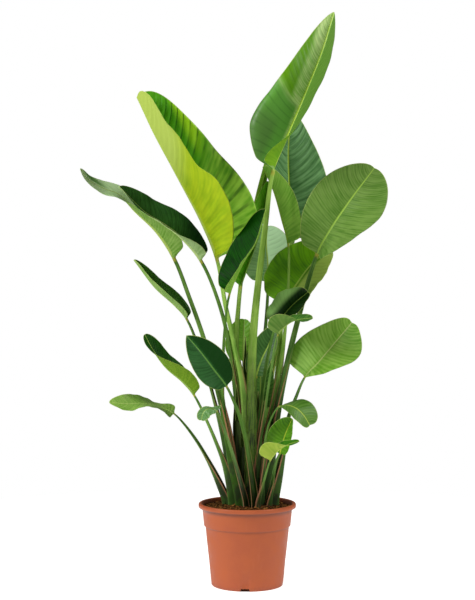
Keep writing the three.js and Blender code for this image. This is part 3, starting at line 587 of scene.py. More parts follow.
def blade_section(leaf, q, row, turns, rib_part, out_part, sign, under, seed):
    """Right, up and along offsets of a point of the blade, and its lines for the material."""
    half = (sign > 0).astype(int)
    pick = lambda key: np.where(half, track(leaf[key], q)[..., 1], track(leaf[key], q)[..., 0])
    neck_half = leaf["thick"][2]
    reach = np.maximum(0.8, pick("wide") * outline(leaf, q) + neck_half * (1 - q))
    rib_half = neck_half + (RIB_TIP_HALF - neck_half) * q
    rib_share = np.minimum(0.45, rib_half / reach)
    v = rib_share * rib_part + (1 - rib_share) * out_part
    fold, curl, lip = (np.radians(pick(key)) for key in ("fold", "curl", "lip"))
    inner, outer = np.minimum(v, LIP_START), np.maximum(v - LIP_START, 0)
    bend = (curl + lip / (1 - LIP_START)) * outer
    x1, z1 = bent(inner, fold, curl * inner)
    x2, z2 = bent(outer, fold + curl * LIP_START, bend)
    swing = np.sin(2 * (math.pi * RIPPLES * q + half)) * np.sin(math.pi * q)
    coarse, fine = np.sin(FRILLS[0] * q + 3 * seed + 2 * half), np.sin(FRILLS[1] * q + seed)
    frill = coarse * fine * np.sin(math.pi * q)
    pleat = leaf["pleat"][1] * np.sin(2 * math.pi * turns) * (0.75 + 0.25 * np.sin(1.1 * turns))
    pleat = pleat * smooth(v, 0.04, 0.25) * (1 - 0.7 * smooth(v, 0.75, 1))
    pleat = pleat * smooth(row, 0, 0.1) * (1 - smooth(row, 0.85, 1))
    outward = leaf["wave"] * (v ** 2 * swing + 0.5 * v ** 4 * frill) + pleat
    wall = BLADE_THICKNESS * (1 - out_part ** 6)
    keel = np.maximum(rib_half, KEEL_DEPTH * BLADE_THICKNESS) - BLADE_THICKNESS
    groove = 0.25 * rib_half * np.cos(math.pi / 2 * rib_part)
    outward = outward - np.where(under, wall + keel * np.cos(math.pi / 2 * rib_part), groove)
    angle = (fold + curl * inner + bend) * rib_part
    across = sign * (reach * (x1 + x2) - outward * np.sin(angle))
    raised = reach * (z1 + z2) + outward * np.cos(angle)
    sweep = (NECK_SWEEP + (TIP_SWEEP - NECK_SWEEP) * q) * v ** 2
    return across, raised, reach * sweep, v, reach, rib_share


# %% [markdown]
# ## From the grid to a leaf
# The grid comes from Blender's own operator. Every vertex reads its row and column from where the
# operator put it, and moves to its place on the leaf. The first and last column meet along the
# left edge, so their doubles are merged, the two open ends are filled, and the normals are then
# recalculated outwards. The vertices also carry what the material needs: the place between the
# side veins, the distance to the rib and to the margin, and the growth from 0 at the root over 1
# at the neck to 2 at the tip. Faces of the underside are marked.


# %% Grow a leaf
NECK_BLEND = 0.07
STALK_ROWS = 36
ROW_SPACING = 2.4
FEWEST_ROWS = 60
LONG_BLADE = 250
STALK_GRAIN = 8
SAME_PLACE = 1e-7


def halves(outer):
    """Columns from the rib outwards: shares of the rib's width, then shares of the blade's."""
    rib = np.array([0, 1 / 3, 2 / 3, 1])
    out = np.append(np.linspace(0, 0.965, outer)[1:], 1)
    return np.append(rib, np.ones(outer)), np.append(np.zeros(4), out)


def grow(leaf, seed):
    """One closed leaf, from its root under the soil to its tip."""
    line = leaf_line(leaf)
    length = line[1][-1] - line[2]
    rib_part, out_part = halves(13 if length > LONG_BLADE else 9)
    size = len(rib_part) - 1
    step = np.concatenate([np.arange(-size, size + 1), np.arange(size - 1, -size - 1, -1)])
    under = (np.arange(len(step)) > 2 * size)[None]
    sign = np.where(step < 0, -1, 1)[None]
    share = np.linspace(0, 1, max(int(length / ROW_SPACING), FEWEST_ROWS))[1:]
    ease = 0.75 * share + 0.25 * (1 - np.cos(math.pi * share)) / 2
    growth = np.concatenate([np.linspace(0, 1, STALK_ROWS), 1 + ease])[:, None]
    s, row = np.minimum(growth, 1), np.maximum(growth - 1, 0)
    rib_part, out_part = rib_part[abs(step)][None], out_part[abs(step)][None]
    q = row + leaf["lean"] * out_part ** 1.2 * row * (1 - row)
    s = s + 0 * q
    middle, along, up, right = stand(leaf, line, s, q)
    x0, z0, half = stalk_section(leaf, s, step[None] / size, under)
    turns = row * length / leaf["pleat"][0] + seed + 0 * q
    x1, z1, y1, v, reach, rib = blade_section(
        leaf, q, row, turns, rib_part, out_part, sign, under, seed)
    into = smooth(q, 0, NECK_BLEND)
    x, y, z = x0 + into * (x1 - x0), into * y1, z0 + into * (z1 - z0)
    points = middle + x[..., None] * right + y[..., None] * along + z[..., None] * up
    on_blade = (growth > 1) + 0 * q > 0
    edge = np.where(on_blade, (1 - v) * reach, (1 - abs(step[None]) / size) * half)
    lines = np.stack([v / rib, edge, growth + 0 * q], -1)
    veins = np.stack([
        np.where(on_blade, turns, x / STALK_GRAIN), np.where(on_blade, sign * v * reach, s * line[2]),
        seed + 0 * q], -1)

    shape = bmesh.new()
    rows, columns = len(growth) - 1, len(step) - 1
    bmesh.ops.create_grid(shape, x_segments=columns, y_segments=rows, size=0.5)
    line_layer = shape.verts.layers.float_vector.new("lines")
    vein_layer = shape.verts.layers.float_vector.new("veins")
    side_layer = shape.faces.layers.float.new("underside")
    for face in shape.faces:
        face[side_layer] = float(face.calc_center_median().x > 0)
    for vertex in shape.verts:
        i, j = round((vertex.co.y + 0.5) * rows), round((vertex.co.x + 0.5) * columns)
        vertex[line_layer], vertex[vein_layer] = lines[i, j], veins[i, j]
        vertex.co = points[i, j] * MM
    bmesh.ops.remove_doubles(shape, verts=shape.verts, dist=SAME_PLACE)
    rims = [edge for edge in shape.edges if edge.is_boundary]
    bmesh.ops.holes_fill(shape, edges=rims, sides=0)
    bmesh.ops.recalc_face_normals(shape, faces=shape.faces)
    return shape


# %% [markdown]
# ## What the finish of a leaf reads
# A leaf is waxy and a little glossy above, paler and more matt below. All that shows on it follows
# the leaf and not the room: veins, rib, margin, and the old and young parts of the stalk. A picture
# could be laid over it, but it would blur close up, so the finish is worked out from what the leaf
# carries. Each reading has a name, and the parts of the finish that follow take what they need.

# %% The readings
ATTRIBUTE = "ShaderNodeAttribute"
STREAKS_ACROSS, STREAKS_ALONG = 3.2, 0.022


def leaf_readings(tree, spacing):
    """What the leaf carries, and the noise that follows it. Spacing is that of the pleats in mm."""
    read = SimpleNamespace()
    lines = add(tree, ATTRIBUTE, attribute_name="lines").outputs["Vector"]
    veins = add(tree, ATTRIBUTE, attribute_name="veins").outputs["Vector"]
    read.below = add(tree, ATTRIBUTE, attribute_name="underside").outputs["Fac"]
    read.to_rib, read.to_edge, read.growth = add(tree, "ShaderNodeSeparateXYZ", {0: lines}).outputs
    turns, read.across, _ = add(tree, "ShaderNodeSeparateXYZ", {0: veins}).outputs
    stretch = {0: veins, 1: (min(STREAKS_ACROSS, spacing / 4), STREAKS_ALONG, 1)}
    grain = add(tree, "ShaderNodeVectorMath", stretch, operation="MULTIPLY").outputs[0]
    read.streaks = speckle(tree, grain, 1.0, 2.0, 0.5)
    read.place = add(tree, "ShaderNodeTexCoord").outputs["Object"]
    read.clouds = speckle(tree, read.place, 16.0, 2.0)
    veins_in_pleat = min(3, max(1, round(spacing / 6)))
    read.ridge = maths(tree, "SINE", product(tree, turns, 2 * math.pi))
    read.fine = maths(tree, "SINE", product(tree, turns, 2 * math.pi * veins_in_pleat))
    light = maths(tree, "MULTIPLY_ADD", read.streaks, 1.3, -0.45)
    drift = maths(tree, "MULTIPLY_ADD", read.clouds, 1.2, light)
    read.level = mask(tree, maths(tree, "MULTIPLY_ADD", read.fine, 0.1, drift), 0.2, 1.25)
    return read


# %% [markdown]
# ## The greens of a blade
# A blade is nowhere one green. Clouds, streaks and fine veins drift between a darker and a lighter
# one, and painted shade darkens the groove between one pleat and the next. Patches of another green
# are painted light where light shines through the blade, and painted shade where the blade lies in
# shade. The rib is yellow-green, and the margin is a thin cream line.


# %% The greens of a blade
# Painted shade: the colour that darkens the grooves between the pleats.
GROOVE_SHADE = 0.2, 0.3, 0.2, 1
MARGIN, MARGIN_STRENGTH = "#c3cf74", 0.6


def patched(tree, read, green, painted_light_and_shade):
    """Patches of painted light and painted shade over a green. Each has its own green, the distances
    right of the rib in mm where it starts and is full, and the growths where it starts and is full.
    """
    for patch, start, full, first, last in painted_light_and_shade:
        beside, beyond = mask(tree, read.across, start, full), mask(tree, read.growth, first, last)
        green = mixed(tree, product(tree, beside, beyond), green, tone(patch))
    return green


def blade_greens(tree, read, upper, under, rib, painted_groove_shade, painted_light_and_shade, pale):
    """Both sides with their painted light, shade and sheen, then the rib and the margin over them."""
    top = patched(tree, read, mixed(tree, read.level, tone(upper[0]), tone(upper[1])), painted_light_and_shade)
    bottom = patched(tree, read, mixed(tree, read.level, tone(under[0]), tone(under[1])), pale)
    # Painted shade in the grooves between pleats, stronger in some places than others.
    groove = product(tree, mask(tree, read.ridge, -0.6, -1.0), mask(tree, read.to_rib, 1.5, 4))
    uneven = product(tree, mask(tree, read.clouds, 0.3, 0.6), painted_groove_shade)
    top = mixed(tree, product(tree, groove, uneven), top, GROOVE_SHADE, "MULTIPLY")
    blade = mixed(tree, read.below, top, bottom)
    blade = mixed(tree, mask(tree, read.to_rib, 1.0, 0.6), blade, tone(rib))
    margin = product(tree, mask(tree, read.to_edge, 1.5, 0.5), MARGIN_STRENGTH)
    return mixed(tree, margin, blade, tone(MARGIN))


# %% [markdown]
# ## The greens of a stalk
# A stalk is fresh green at the top. Low down its sheath is older: it has grey streaks and brown
# specks, and its thin edges dry to a pinkish brown. Painted shade darkens its channel low down and
# its foot. Growth is 0 at the root and 1 at the neck, so it says how old each place is.


# %% The greens of a stalk
GREY_STREAK, BROWN_SPECK, DRY_EDGE = "#4a5c3a", "#5c4a30", "#a87556"
# Painted shade, low in the stalk's channel and at its foot.
CHANNEL_SHADE = 0.4, 0.45, 0.4, 1
FOOT_SHADE = 0.66, 0.72, 0.62, 1


def stalk_greens(tree, read, stalk):
    """Fresh green with what age and painted shade add to it, from the top of the stalk to its foot."""
    stem = mixed(tree, read.level, tone(stalk[0]), tone(stalk[1]))
    low = mask(tree, read.growth, 0.6, 0.2)
    streaks = product(tree, low, mask(tree, read.streaks, 0.45, 0.62))
    stem = mixed(tree, streaks, stem, tone(GREY_STREAK))
    specks = product(tree, low, mask(tree, speckle(tree, read.place, 190.0), 0.55, 0.75))
    stem = mixed(tree, specks, stem, tone(BROWN_SPECK))
    # Painted shade towards the edges of the channel, low down.
    shaded = product(tree, mask(tree, read.growth, 0.75, 0.3), mask(tree, read.to_edge, 8, 1.5))
    stem = mixed(tree, shaded, stem, CHANNEL_SHADE, "MULTIPLY")
    # Painted shade at the foot.
    foot = mask(tree, read.growth, 0.4, 0.0)
    stem = mixed(tree, foot, stem, FOOT_SHADE, "MULTIPLY")
    dry = product(tree, mask(tree, read.growth, 0.7, 0.4), mask(tree, read.to_edge, 1.2, 0.4))
    return mixed(tree, dry, stem, tone(DRY_EDGE))


# %% [markdown]
# ## The whole finish
# Stalk and blade meet at the neck, which is marked by a yellow joint. The streaks and fine veins
# also make the surface a little uneven, and the underside is rougher than the waxy upper side. One
# function puts the finish together, and each leaf calls it with its own greens.


# %% The finish of a leaf
JOINT = "#b3a63c"


def leaf_finish(name, spacing, upper, under, rib, stalk, gloss=0.22, painted_groove_shade=0.15, joint=0.6,
                painted_light_and_shade=(), pale=()):
    """Upper, under and stalk are pairs of a darker and a lighter green. Joint and the painted shade in
    the grooves between pleats say how strongly these show. Patches of painted light and painted shade
    lie on the upper side, and pale ones, a painted sheen, on the underside.
    """
    finish, tree, shader = new_finish(name)
    read = leaf_readings(tree, spacing)
    blade = blade_greens(tree, read, upper, under, rib, painted_groove_shade, painted_light_and_shade, pale)
    stem = stalk_greens(tree, read, stalk)
    colour = mixed(tree, mask(tree, read.growth, 1.0, 1.02), stem, blade)
    below_neck, past_neck = mask(tree, read.growth, 0.985, 0.998), mask(tree, read.growth, 1.02, 1.0)
    ring = product(tree, product(tree, below_neck, past_neck), joint)
    tree.links.new(mixed(tree, ring, colour, tone(JOINT)), shader.inputs["Base Color"])

    rough = mask(tree, maths(tree, "ADD", read.below, read.streaks), -1.1, 2.4)
    tree.links.new(rough, shader.inputs["Roughness"])
    height = maths(tree, "MULTIPLY_ADD", read.fine, 0.25, read.streaks)
    relief = {"Height": height, "Strength": 0.25, "Distance": 0.0003}
    bump = add(tree, "ShaderNodeBump", relief)
    tree.links.new(bump.outputs[0], shader.inputs["Normal"])
    shader.inputs["Specular IOR Level"].default_value = gloss
    return finish


# %% [markdown]
# ## Growing all the leaves
# Every leaf has its own greens. Leaves that are seen against the light from below are painted lime,
# as light shining through them, some low down are darker, and those at the back are greyer. Each
# look also names one of the record's four leaf colours. A second table holds what single leaves have
# besides: less gloss, stronger painted shade in the grooves between the pleats, or patches of
# painted light and painted shade.

# %% The greens of each leaf
PALE_STALK = ("#6a962c", "#9fc258")
STALK = ("#5a8a26", "#96bc54")
DEEP_STALK = ("#3a6420", "#668c3c")
LOOKS = {
    # upper side, underside, rib, stalk, slot
    "leaf_top": (("#74b03c", "#c6de90"), ("#65a00f", "#84b822"), "#c4dc5c", PALE_STALK, "mid"),
    "leaf_tall_left": (("#5ca51a", "#aede4c"), ("#84a504", "#a2b911"), "#a8c050", STALK, "lime"),
    "leaf_reach_front": (("#17440e", "#3a7032"), ("#749450", "#94b074"), "#a9bf78", DEEP_STALK, "dark"),
    "leaf_reach_back": (("#a4d086", "#d2eeba"), ("#568424", "#82a450"), "#a2b85c", DEEP_STALK, "mid"),
    "leaf_narrow_left": (("#22560c", "#3f7420"), ("#5c8a30", "#88a858"), "#93ad5c", DEEP_STALK, "dark"),
    "leaf_folded_left": (("#093604", "#1d5904"), ("#578113", "#729425"), "#8fae50", DEEP_STALK, "dark"),
    "leaf_dark_oval": (("#163e12", "#2c5e2a"), ("#4f7a34", "#6f9650"), "#5c8a3c", DEEP_STALK, "dark"),
    "leaf_low_left": (("#5c8c2c", "#8cb050"), ("#5f8f34", "#86ab58"), "#9cb860", DEEP_STALK, "mid"),
    "leaf_small_curled": (("#41702c", "#6c9c58"), ("#4f7f3c", "#7aa05c"), "#8fae58", DEEP_STALK, "grey"),
    "leaf_dark_centre": (("#042803", "#124c04"), ("#5f9a28", "#86b048"), "#86a840", DEEP_STALK, "dark"),
    "leaf_behind_centre": (("#4c9c10", "#7cc42c"), ("#4c8414", "#74a034"), "#86a840", PALE_STALK, "mid"),
    "leaf_rolled": (("#4a7c0a", "#7cb026"), ("#4a7c0a", "#7cb026"), "#86a840", STALK, "mid"),
    "leaf_pale_back": (("#5c8a4c", "#86ae6e"), ("#6f9a5c", "#8fb074"), "#94b04c", DEEP_STALK, "grey"),
    "leaf_mid_right": (("#3f7112", "#649d05"), ("#4f8028", "#74a03c"), "#94b048", PALE_STALK, "mid"),
    # Nearly black above: painted shade in the cup's trough; its patch below paints light on the outer
    # band.
    "leaf_cupped_right": (("#051d03", "#153409"), ("#3f7020", "#5f8a34"), "#86a448", DEEP_STALK, "mid"),
    "leaf_small_twisted": (("#1d4a14", "#4c7a2c"), ("#457021", "#698a3c"), "#94ae54", DEEP_STALK, "grey"),
    "leaf_dark_inner": (("#264c1b", "#446f31"), ("#4c7a34", "#6f9650"), "#8fae44", DEEP_STALK, "dark"),
    "leaf_bright_inner": (("#5c9c1c", "#82b838"), ("#5c9020", "#80a840"), "#94b048", DEEP_STALK, "lime"),
    "leaf_large_right": (("#45701c", "#719342"), ("#5f8f34", "#8ab05c"), "#94b848", DEEP_STALK, "mid"),
    "leaf_tall_back": (("#3a6636", "#6e9a62"), ("#4c7a44", "#749a68"), "#9cb848", STALK, "grey"),
    "leaf_half_folded": (("#54862a", "#82ac4c"), ("#548a20", "#80aa40"), "#80a030", STALK, "mid"),
    "leaf_round_right": (("#4e860d", "#86af48"), ("#5c8f28", "#80a84c"), "#a4b868", DEEP_STALK, "mid"),
    "leaf_small_right": (("#3b6718", "#5f8834"), ("#5a8a34", "#80a85c"), "#a4b84c", DEEP_STALK, "mid"),
    "leaf_low_inner": (("#346c08", "#5c9318"), ("#4f8020", "#749c38"), "#a8bf34", DEEP_STALK, "mid"),
    "leaf_low_curled": (("#1d5a08", "#3f7a14"), ("#789b26", "#9cb142"), "#a8bf50", DEEP_STALK, "lime"),
    "leaf_back_low": (("#336618", "#5c8a38"), ("#4c7a28", "#6f9640"), "#86a440", DEEP_STALK, "mid"),
}
ALL_OVER = 500, 400  # right of every point of the leaf, so such a patch is full across the blade
# Patches are painted light and painted shade; the pale one under leaf_tall_left is a painted sheen.
BESIDES = {
    "leaf_top": dict(painted_groove_shade=0.3, painted_light_and_shade=[
        ("#5c9404", -20, -36, 1.38, 1.43), ("#5c9838", -3, -12, 1.42, 1.37),
        ("#527e36", -22, -48, 1.32, 1.2), ("#6a9a34", 2, 8, 1.0, 1.05),
        ("#5a862e", 4, 10, 1.08, 1.14)]),
    "leaf_tall_left": dict(
        painted_groove_shade=0.9, painted_light_and_shade=[("#4c980c", 8, 30, 1.36, 1.46), ("#a0d41c", 58, 84, 1.4, 1.55)],
        pale=[("#a9bf52", *ALL_OVER, 1.38, 1.62)]),
    "leaf_reach_front": dict(gloss=0.12, painted_light_and_shade=[("#0a380a", 3, 14, 1.36, 1.14)]),
    "leaf_reach_back": dict(gloss=0.12, painted_light_and_shade=[("#6a9c50", 2, 12, 1.7, 1.8)]),
    "leaf_folded_left": dict(gloss=0.12),
    "leaf_dark_oval": dict(gloss=0.08, painted_groove_shade=0.06, painted_light_and_shade=[("#143a12", 1, 8, 1.0, 1.05)]),
    "leaf_small_curled": dict(gloss=0.35),
    "leaf_dark_centre": dict(gloss=0.03, painted_groove_shade=0.3),
    "leaf_pale_back": dict(painted_groove_shade=0.3, painted_light_and_shade=[("#b4d8a8", -6, 6, 1.0, 1.08)]),
    "leaf_mid_right": dict(painted_groove_shade=0.2, painted_light_and_shade=[("#a3bd55", 3, 12, 1.0, 1.05)]),
    "leaf_cupped_right": dict(gloss=0.1, painted_light_and_shade=[("#86b460", -14, -30, 1.0, 1.15)]),
    "leaf_bright_inner": dict(painted_groove_shade=0.3),
    "leaf_large_right": dict(painted_groove_shade=0.22),
    "leaf_tall_back": dict(gloss=0.08, painted_groove_shade=0.6),
    "leaf_round_right": dict(painted_groove_shade=0.12),
    "leaf_back_low": dict(painted_groove_shade=0.5),
}
SLOTS = {"mid": "leaf_mid_green", "dark": "leaf_dark_green", "lime": "leaf_lime_green",
         "grey": "leaf_grey_green"}

# %% Grow them
random.seed(12)
for name, leaf in LEAVES.items():
    upper, under, rib, stalk, slot = LOOKS[name]
    shape = grow(PLAIN_LEAF | leaf, random.uniform(0, 6))
    faces = len(shape.faces)
    finish = leaf_finish(
        name + "_finish", leaf["pleat"][0], upper, under, rib, stalk, **BESIDES.get(name, {}))
    keep(name + "_grown", shape, finish, SLOTS[slot], name)
    print(name, faces, "faces")

# %% [markdown]
# ## Old sheaths
# Between the stalks stand the sheaths of leaves that have been cut away. They are short, broad and
# dull, and they close the gaps at the foot of the plant; their very dark green is partly painted
# shade, the shade in those gaps. A sheath is a stalk whose blade is only a narrow point, so the same
# function grows it from a shorter table.

# %% Old sheaths
SHEATHS = (  # place at the soil, lean to the side and back, height, half-width
    (-34, 16, -14, 6, 190, 13), (-18, 16, -8, 4, 300, 14), (-8, -4, -4, 0, 210, 11),
    (12, 26, 2, 6, 330, 14), (30, 22, 12, 6, 260, 13), (44, 20, 16, 4, 200, 12),
    (-26, 46, -6, 8, 240, 12), (22, 52, 6, 10, 280, 12), (-8, 30, 4, 4, 420, 13),
)
# The sheaths' dull greens, made very dark besides as painted shade between the stalks.
DULL_AND_SHADED_GREENS = ("#26380f", "#44581f"), ("#22330f", "#3c501c"), "#44581f", ("#20300d", "#3c4f1b")
SOIL_LEVEL = 190
SHEATH_SHARES = 0.02, 0.35, 0.7, 0.85, 1
for i, (x, y, side, back, height, half) in enumerate(SHEATHS):
    bow = [(x + side * t * t, y + back * t * t, SOIL_LEVEL + height * t) for t in SHEATH_SHARES]
    sheath = dict(
        stalk=bow[:3], rib=bow[3:], faces=[(side, -40, 0), (side, -40, 10)], wide=[(6, 6)],
        fold=[(50, 50)], curl=[(20, 20)], lip=[(0, 0)], thick=(half, half * 0.8, half * 0.45),
        wave=0, full=0.3, blunt=0.8, pleat=(6, 0.1), lean=0.2)
    shape = grow(sheath, i * 1.7)
    finish = leaf_finish(f"old_sheath_{i}_finish", 8, *DULL_AND_SHADED_GREENS, joint=0.0)
    keep(f"old_sheath_{i}", shape, finish, "leaf_dark_green")
print("old sheaths:", len(SHEATHS))

# %% [markdown]
# ## The pot
# The pot is moulded in one piece: a tapering wall with a wider collar, a rolled lip, and a flat
# floor. Its profile is drawn once, from the middle of the underside round the wall to the middle
# of the floor, and spun about the axis. It has 144 steps, so that a drain notch is six of them
# and a drain hole five.

# %% The pot's profile
LIP_RADIUS, COLLAR_RADIUS, STEP_RADIUS, FOOT_RADIUS = 120, 110.8, 102.8, 88.4
POT_HEIGHT, LIP_FOOT, STEP_HEIGHT, WALL, FLOOR = 201, 190, 145, 2, 3
NOTCH_WIDTH, NOTCH_TOP_WIDTH, NOTCH_HEIGHT, NOTCH_TURN, NOTCH_DEPTH = 23, 19, 7, -4, 13
DRAIN_RADIUS, DRAIN_CIRCLE = 5, 48
POT_STEPS = 144


def arc(radius, height, size, start, end, count=6):
    """Profile points on a small arc, its angles in degrees from the outward direction."""
    turns = [math.radians(start + (end - start) * i / (count - 1)) for i in range(count)]
    return [(radius + size * math.cos(t), height + size * math.sin(t)) for t in turns]


inner_edge = FOOT_RADIUS - NOTCH_DEPTH
holes = [DRAIN_CIRCLE - DRAIN_RADIUS, DRAIN_CIRCLE, DRAIN_CIRCLE + DRAIN_RADIUS]
profile = [
    (0, 0), *[(r, 0) for r in holes], (inner_edge, 0),
    *arc(FOOT_RADIUS - 3.2, 3.2, 3.2, -90, -5), (FOOT_RADIUS + 0.3, NOTCH_HEIGHT),
    (94, 60), (99, 105), (STEP_RADIUS, STEP_HEIGHT - 3.5), (STEP_RADIUS + 0.2, STEP_HEIGHT - 1.4),
    (STEP_RADIUS + 1.2, STEP_HEIGHT), *arc(STEP_RADIUS + 2, STEP_HEIGHT + 2.4, 1.9, -60, 0, 4),
    (COLLAR_RADIUS - 1.7, 172), (COLLAR_RADIUS - 0.2, LIP_FOOT - 3),
    (COLLAR_RADIUS + 1.4, LIP_FOOT - 0.8), (COLLAR_RADIUS + 4, LIP_FOOT),
    *arc(LIP_RADIUS - 2.6, LIP_FOOT + 2.6, 2.6, -90, -8), *arc(LIP_RADIUS - 4, 197, 4, 6, 90),
    (COLLAR_RADIUS + 2.4, POT_HEIGHT - 0.6), (COLLAR_RADIUS + 0.6, POT_HEIGHT - 2.6),
    (COLLAR_RADIUS - WALL, 186), (STEP_RADIUS + 1.6, STEP_HEIGHT + 4),
    (STEP_RADIUS - WALL, STEP_HEIGHT - 4), (FOOT_RADIUS - WALL + 0.2, NOTCH_HEIGHT + 2),
    (FOOT_RADIUS - WALL, NOTCH_HEIGHT), (FOOT_RADIUS - WALL - 2.4, FLOOR),
    (inner_edge, FLOOR), *[(r, FLOOR) for r in reversed(holes)], (0, FLOOR),
]
print("profile points:", len(profile))

# %% Spin the pot
first = math.radians(-90 + NOTCH_TURN - 7.5)
shape = bmesh.new()
corners = [shape.verts.new((r * math.cos(first), r * math.sin(first), z)) for r, z in profile]
ribs = [shape.edges.new(pair) for pair in zip(corners, corners[1:])]
bmesh.ops.spin(shape, geom=corners + ribs, axis=(0, 0, 1), cent=(0, 0, 0), angle=2 * math.pi,
               steps=POT_STEPS, use_merge=True)
bmesh.ops.remove_doubles(shape, verts=shape.verts, dist=0.01)
bmesh.ops.recalc_face_normals(shape, faces=shape.faces)
print("pot faces:", len(shape.faces))

# %% [markdown]
# ## Notches and drain holes
# The mould leaves four trapezoid notches at the foot and a ring of holes in the floor. They could
# be cut with a boolean, but the steps are laid out for them, so it is cleaner to take out the
# faces of both skins there and bridge the two rims. Then the notch's sides are leant in, and the
# rims of the holes are moved onto a circle.


# %% Openings in the pot
def from_middle(point, turn):
    """Distance along the rim, in mm, of a point from the middle of an opening, and its radius."""
    radius = math.hypot(point.x, point.y)
    away = (math.atan2(point.y, point.x) - turn + math.pi) % (2 * math.pi) - math.pi
    return away * radius, radius


def open_up(chosen):
    """Take faces out of both skins and join the two rims that are left."""
    rim = {edge for face in chosen for edge in face.edges
           if any(other not in chosen for other in edge.link_faces)}
    bmesh.ops.delete(shape, geom=list(chosen), context="FACES")
    bmesh.ops.bridge_loops(shape, edges=list(rim))
    return {vertex for edge in rim for vertex in edge.verts}


step_turn = 2 * math.pi / POT_STEPS
for i in range(4):
    turn = math.radians(-90 + NOTCH_TURN + 90 * i)
    chosen = set()
    for face in shape.faces:
        middle = face.calc_center_median()
        away, radius = from_middle(middle, turn)
        if abs(away) < 3 * step_turn * radius and radius > inner_edge and middle.z < NOTCH_HEIGHT:
            chosen.add(face)
    for vertex in open_up(chosen):
        away, radius = from_middle(vertex.co, turn)
        lean = vertex.co.z / NOTCH_HEIGHT * (1 - NOTCH_TOP_WIDTH / NOTCH_WIDTH)
        turned = turn + away / radius * (1 - lean)
        vertex.co.x, vertex.co.y = radius * math.cos(turned), radius * math.sin(turned)

hole_turns = [first + (18 * i + 7.5) * step_turn for i in range(8)]
for turn in hole_turns:
    centre = Vector((math.cos(turn), math.sin(turn), 0)) * DRAIN_CIRCLE
    chosen = set()
    for face in shape.faces:
        middle = face.calc_center_median()
        away, radius = from_middle(middle, turn)
        if abs(away) < 2.5 * step_turn * radius and holes[0] < radius < holes[2] and middle.z < 9:
            chosen.add(face)
    for vertex in open_up(chosen):
        out = Vector((vertex.co.x, vertex.co.y, 0)) - centre
        vertex.co.xy = (centre + out.normalized() * DRAIN_RADIUS).xy
bmesh.ops.recalc_face_normals(shape, faces=shape.faces)
bmesh.ops.scale(shape, vec=(MM, MM, MM), verts=shape.verts)
print("open edges:", sum(edge.is_boundary for edge in shape.edges))

# %% [markdown]
# ## Moulded plastic
# The pot's plastic is dyed through, with a satin skin from the mould. It is a touch uneven in
# colour and shows faint scuffs where pots rub in the nursery. Its colour is darker towards the foot,
# and painted shade lies in two bands, under the lip and under the collar's step.

# %% The plastic of the pot
finish, tree, shader = new_finish("pot_plastic")
place = add(tree, "ShaderNodeTexCoord").outputs["Object"]
height = add(tree, "ShaderNodeSeparateXYZ", {0: place}).outputs[2]
mottle = speckle(tree, place, 22.0, 4.0)
grit = speckle(tree, place, 900.0, 2.0)
upright = add(tree, "ShaderNodeVectorMath", {0: place, 1: (60, 60, 9)}, operation="MULTIPLY")
scuffs = speckle(tree, upright.outputs[0], 1.0)
colour = mixed(tree, mask(tree, mottle, 0.2, 0.8), tone("#a04c28"), tone("#a8542d"))
rubs = product(tree, mask(tree, scuffs, 0.62, 0.85), 0.10)
colour = mixed(tree, rubs, colour, tone("#cf8460"))
# Darker towards the foot; the bands below are painted shade under the lip and under the collar's step.
darker_foot_and_painted_shade = product(tree, mask(tree, height, 0.012, 0.0), 0.35)
PAINTED_SHADE_BANDS = (  # where the painted shade starts, is full, is still full and ends, in metres, and how strong
    (0.178, 0.1885, 0.19, 0.1925, 0.95),
    (0.139, 0.1445, 0.1455, 0.1475, 0.5),
)
for start, full, still_full, end, strength in PAINTED_SHADE_BANDS:
    band = product(tree, mask(tree, height, start, full), mask(tree, height, end, still_full))
    darker_foot_and_painted_shade = maths(tree, "MAXIMUM", darker_foot_and_painted_shade, product(tree, band, strength))
colour = mixed(tree, darker_foot_and_painted_shade, colour, tone("#7a4432"))
tree.links.new(colour, shader.inputs["Base Color"])
tree.links.new(mask(tree, mottle, -0.6, 1.6), shader.inputs["Roughness"])
shader.inputs["Specular IOR Level"].default_value = 0.3
bump = add(tree, "ShaderNodeBump", {"Height": grit, "Strength": 0.12, "Distance": 0.0003})
tree.links.new(bump.outputs[0], shader.inputs["Normal"])
keep("pot_moulded", shape, finish, "pot", "pot")

# %% [markdown]
# ## The potting mix
# The mix is bark and peat: dark, coarse and loose. Its body is a spun solid that fills the pot,
# with a top that is lifted by noise. Loose bits lie on it: flat bark, rounder crumbs and pale
# fibres. Each bit is a cube or a small ball with its corners pushed about, since hundreds of them
# need only a few faces each.

# %% The body of the mix
SOIL_EDGE, SOIL_CROWN, SOIL_RADIUS = 189, 7, COLLAR_RADIUS - WALL - 0.4
SOIL_RINGS = 30


def soil_height(x, y):
    """Height of the mix, in mm: crowned towards the stalks, lumpy and rough."""
    share = (x * x + y * y) / SOIL_RADIUS ** 2
    lump = 1.5 * math.sin(x / 13 + 1) * math.cos(y / 11)
    rough = 2.2 * noise.noise(Vector((x, y, 3)) / 9) + 1.2 * noise.noise(Vector((x, y, 7)) / 3.5)
    return SOIL_EDGE + SOIL_CROWN * (1 - share) + lump + rough


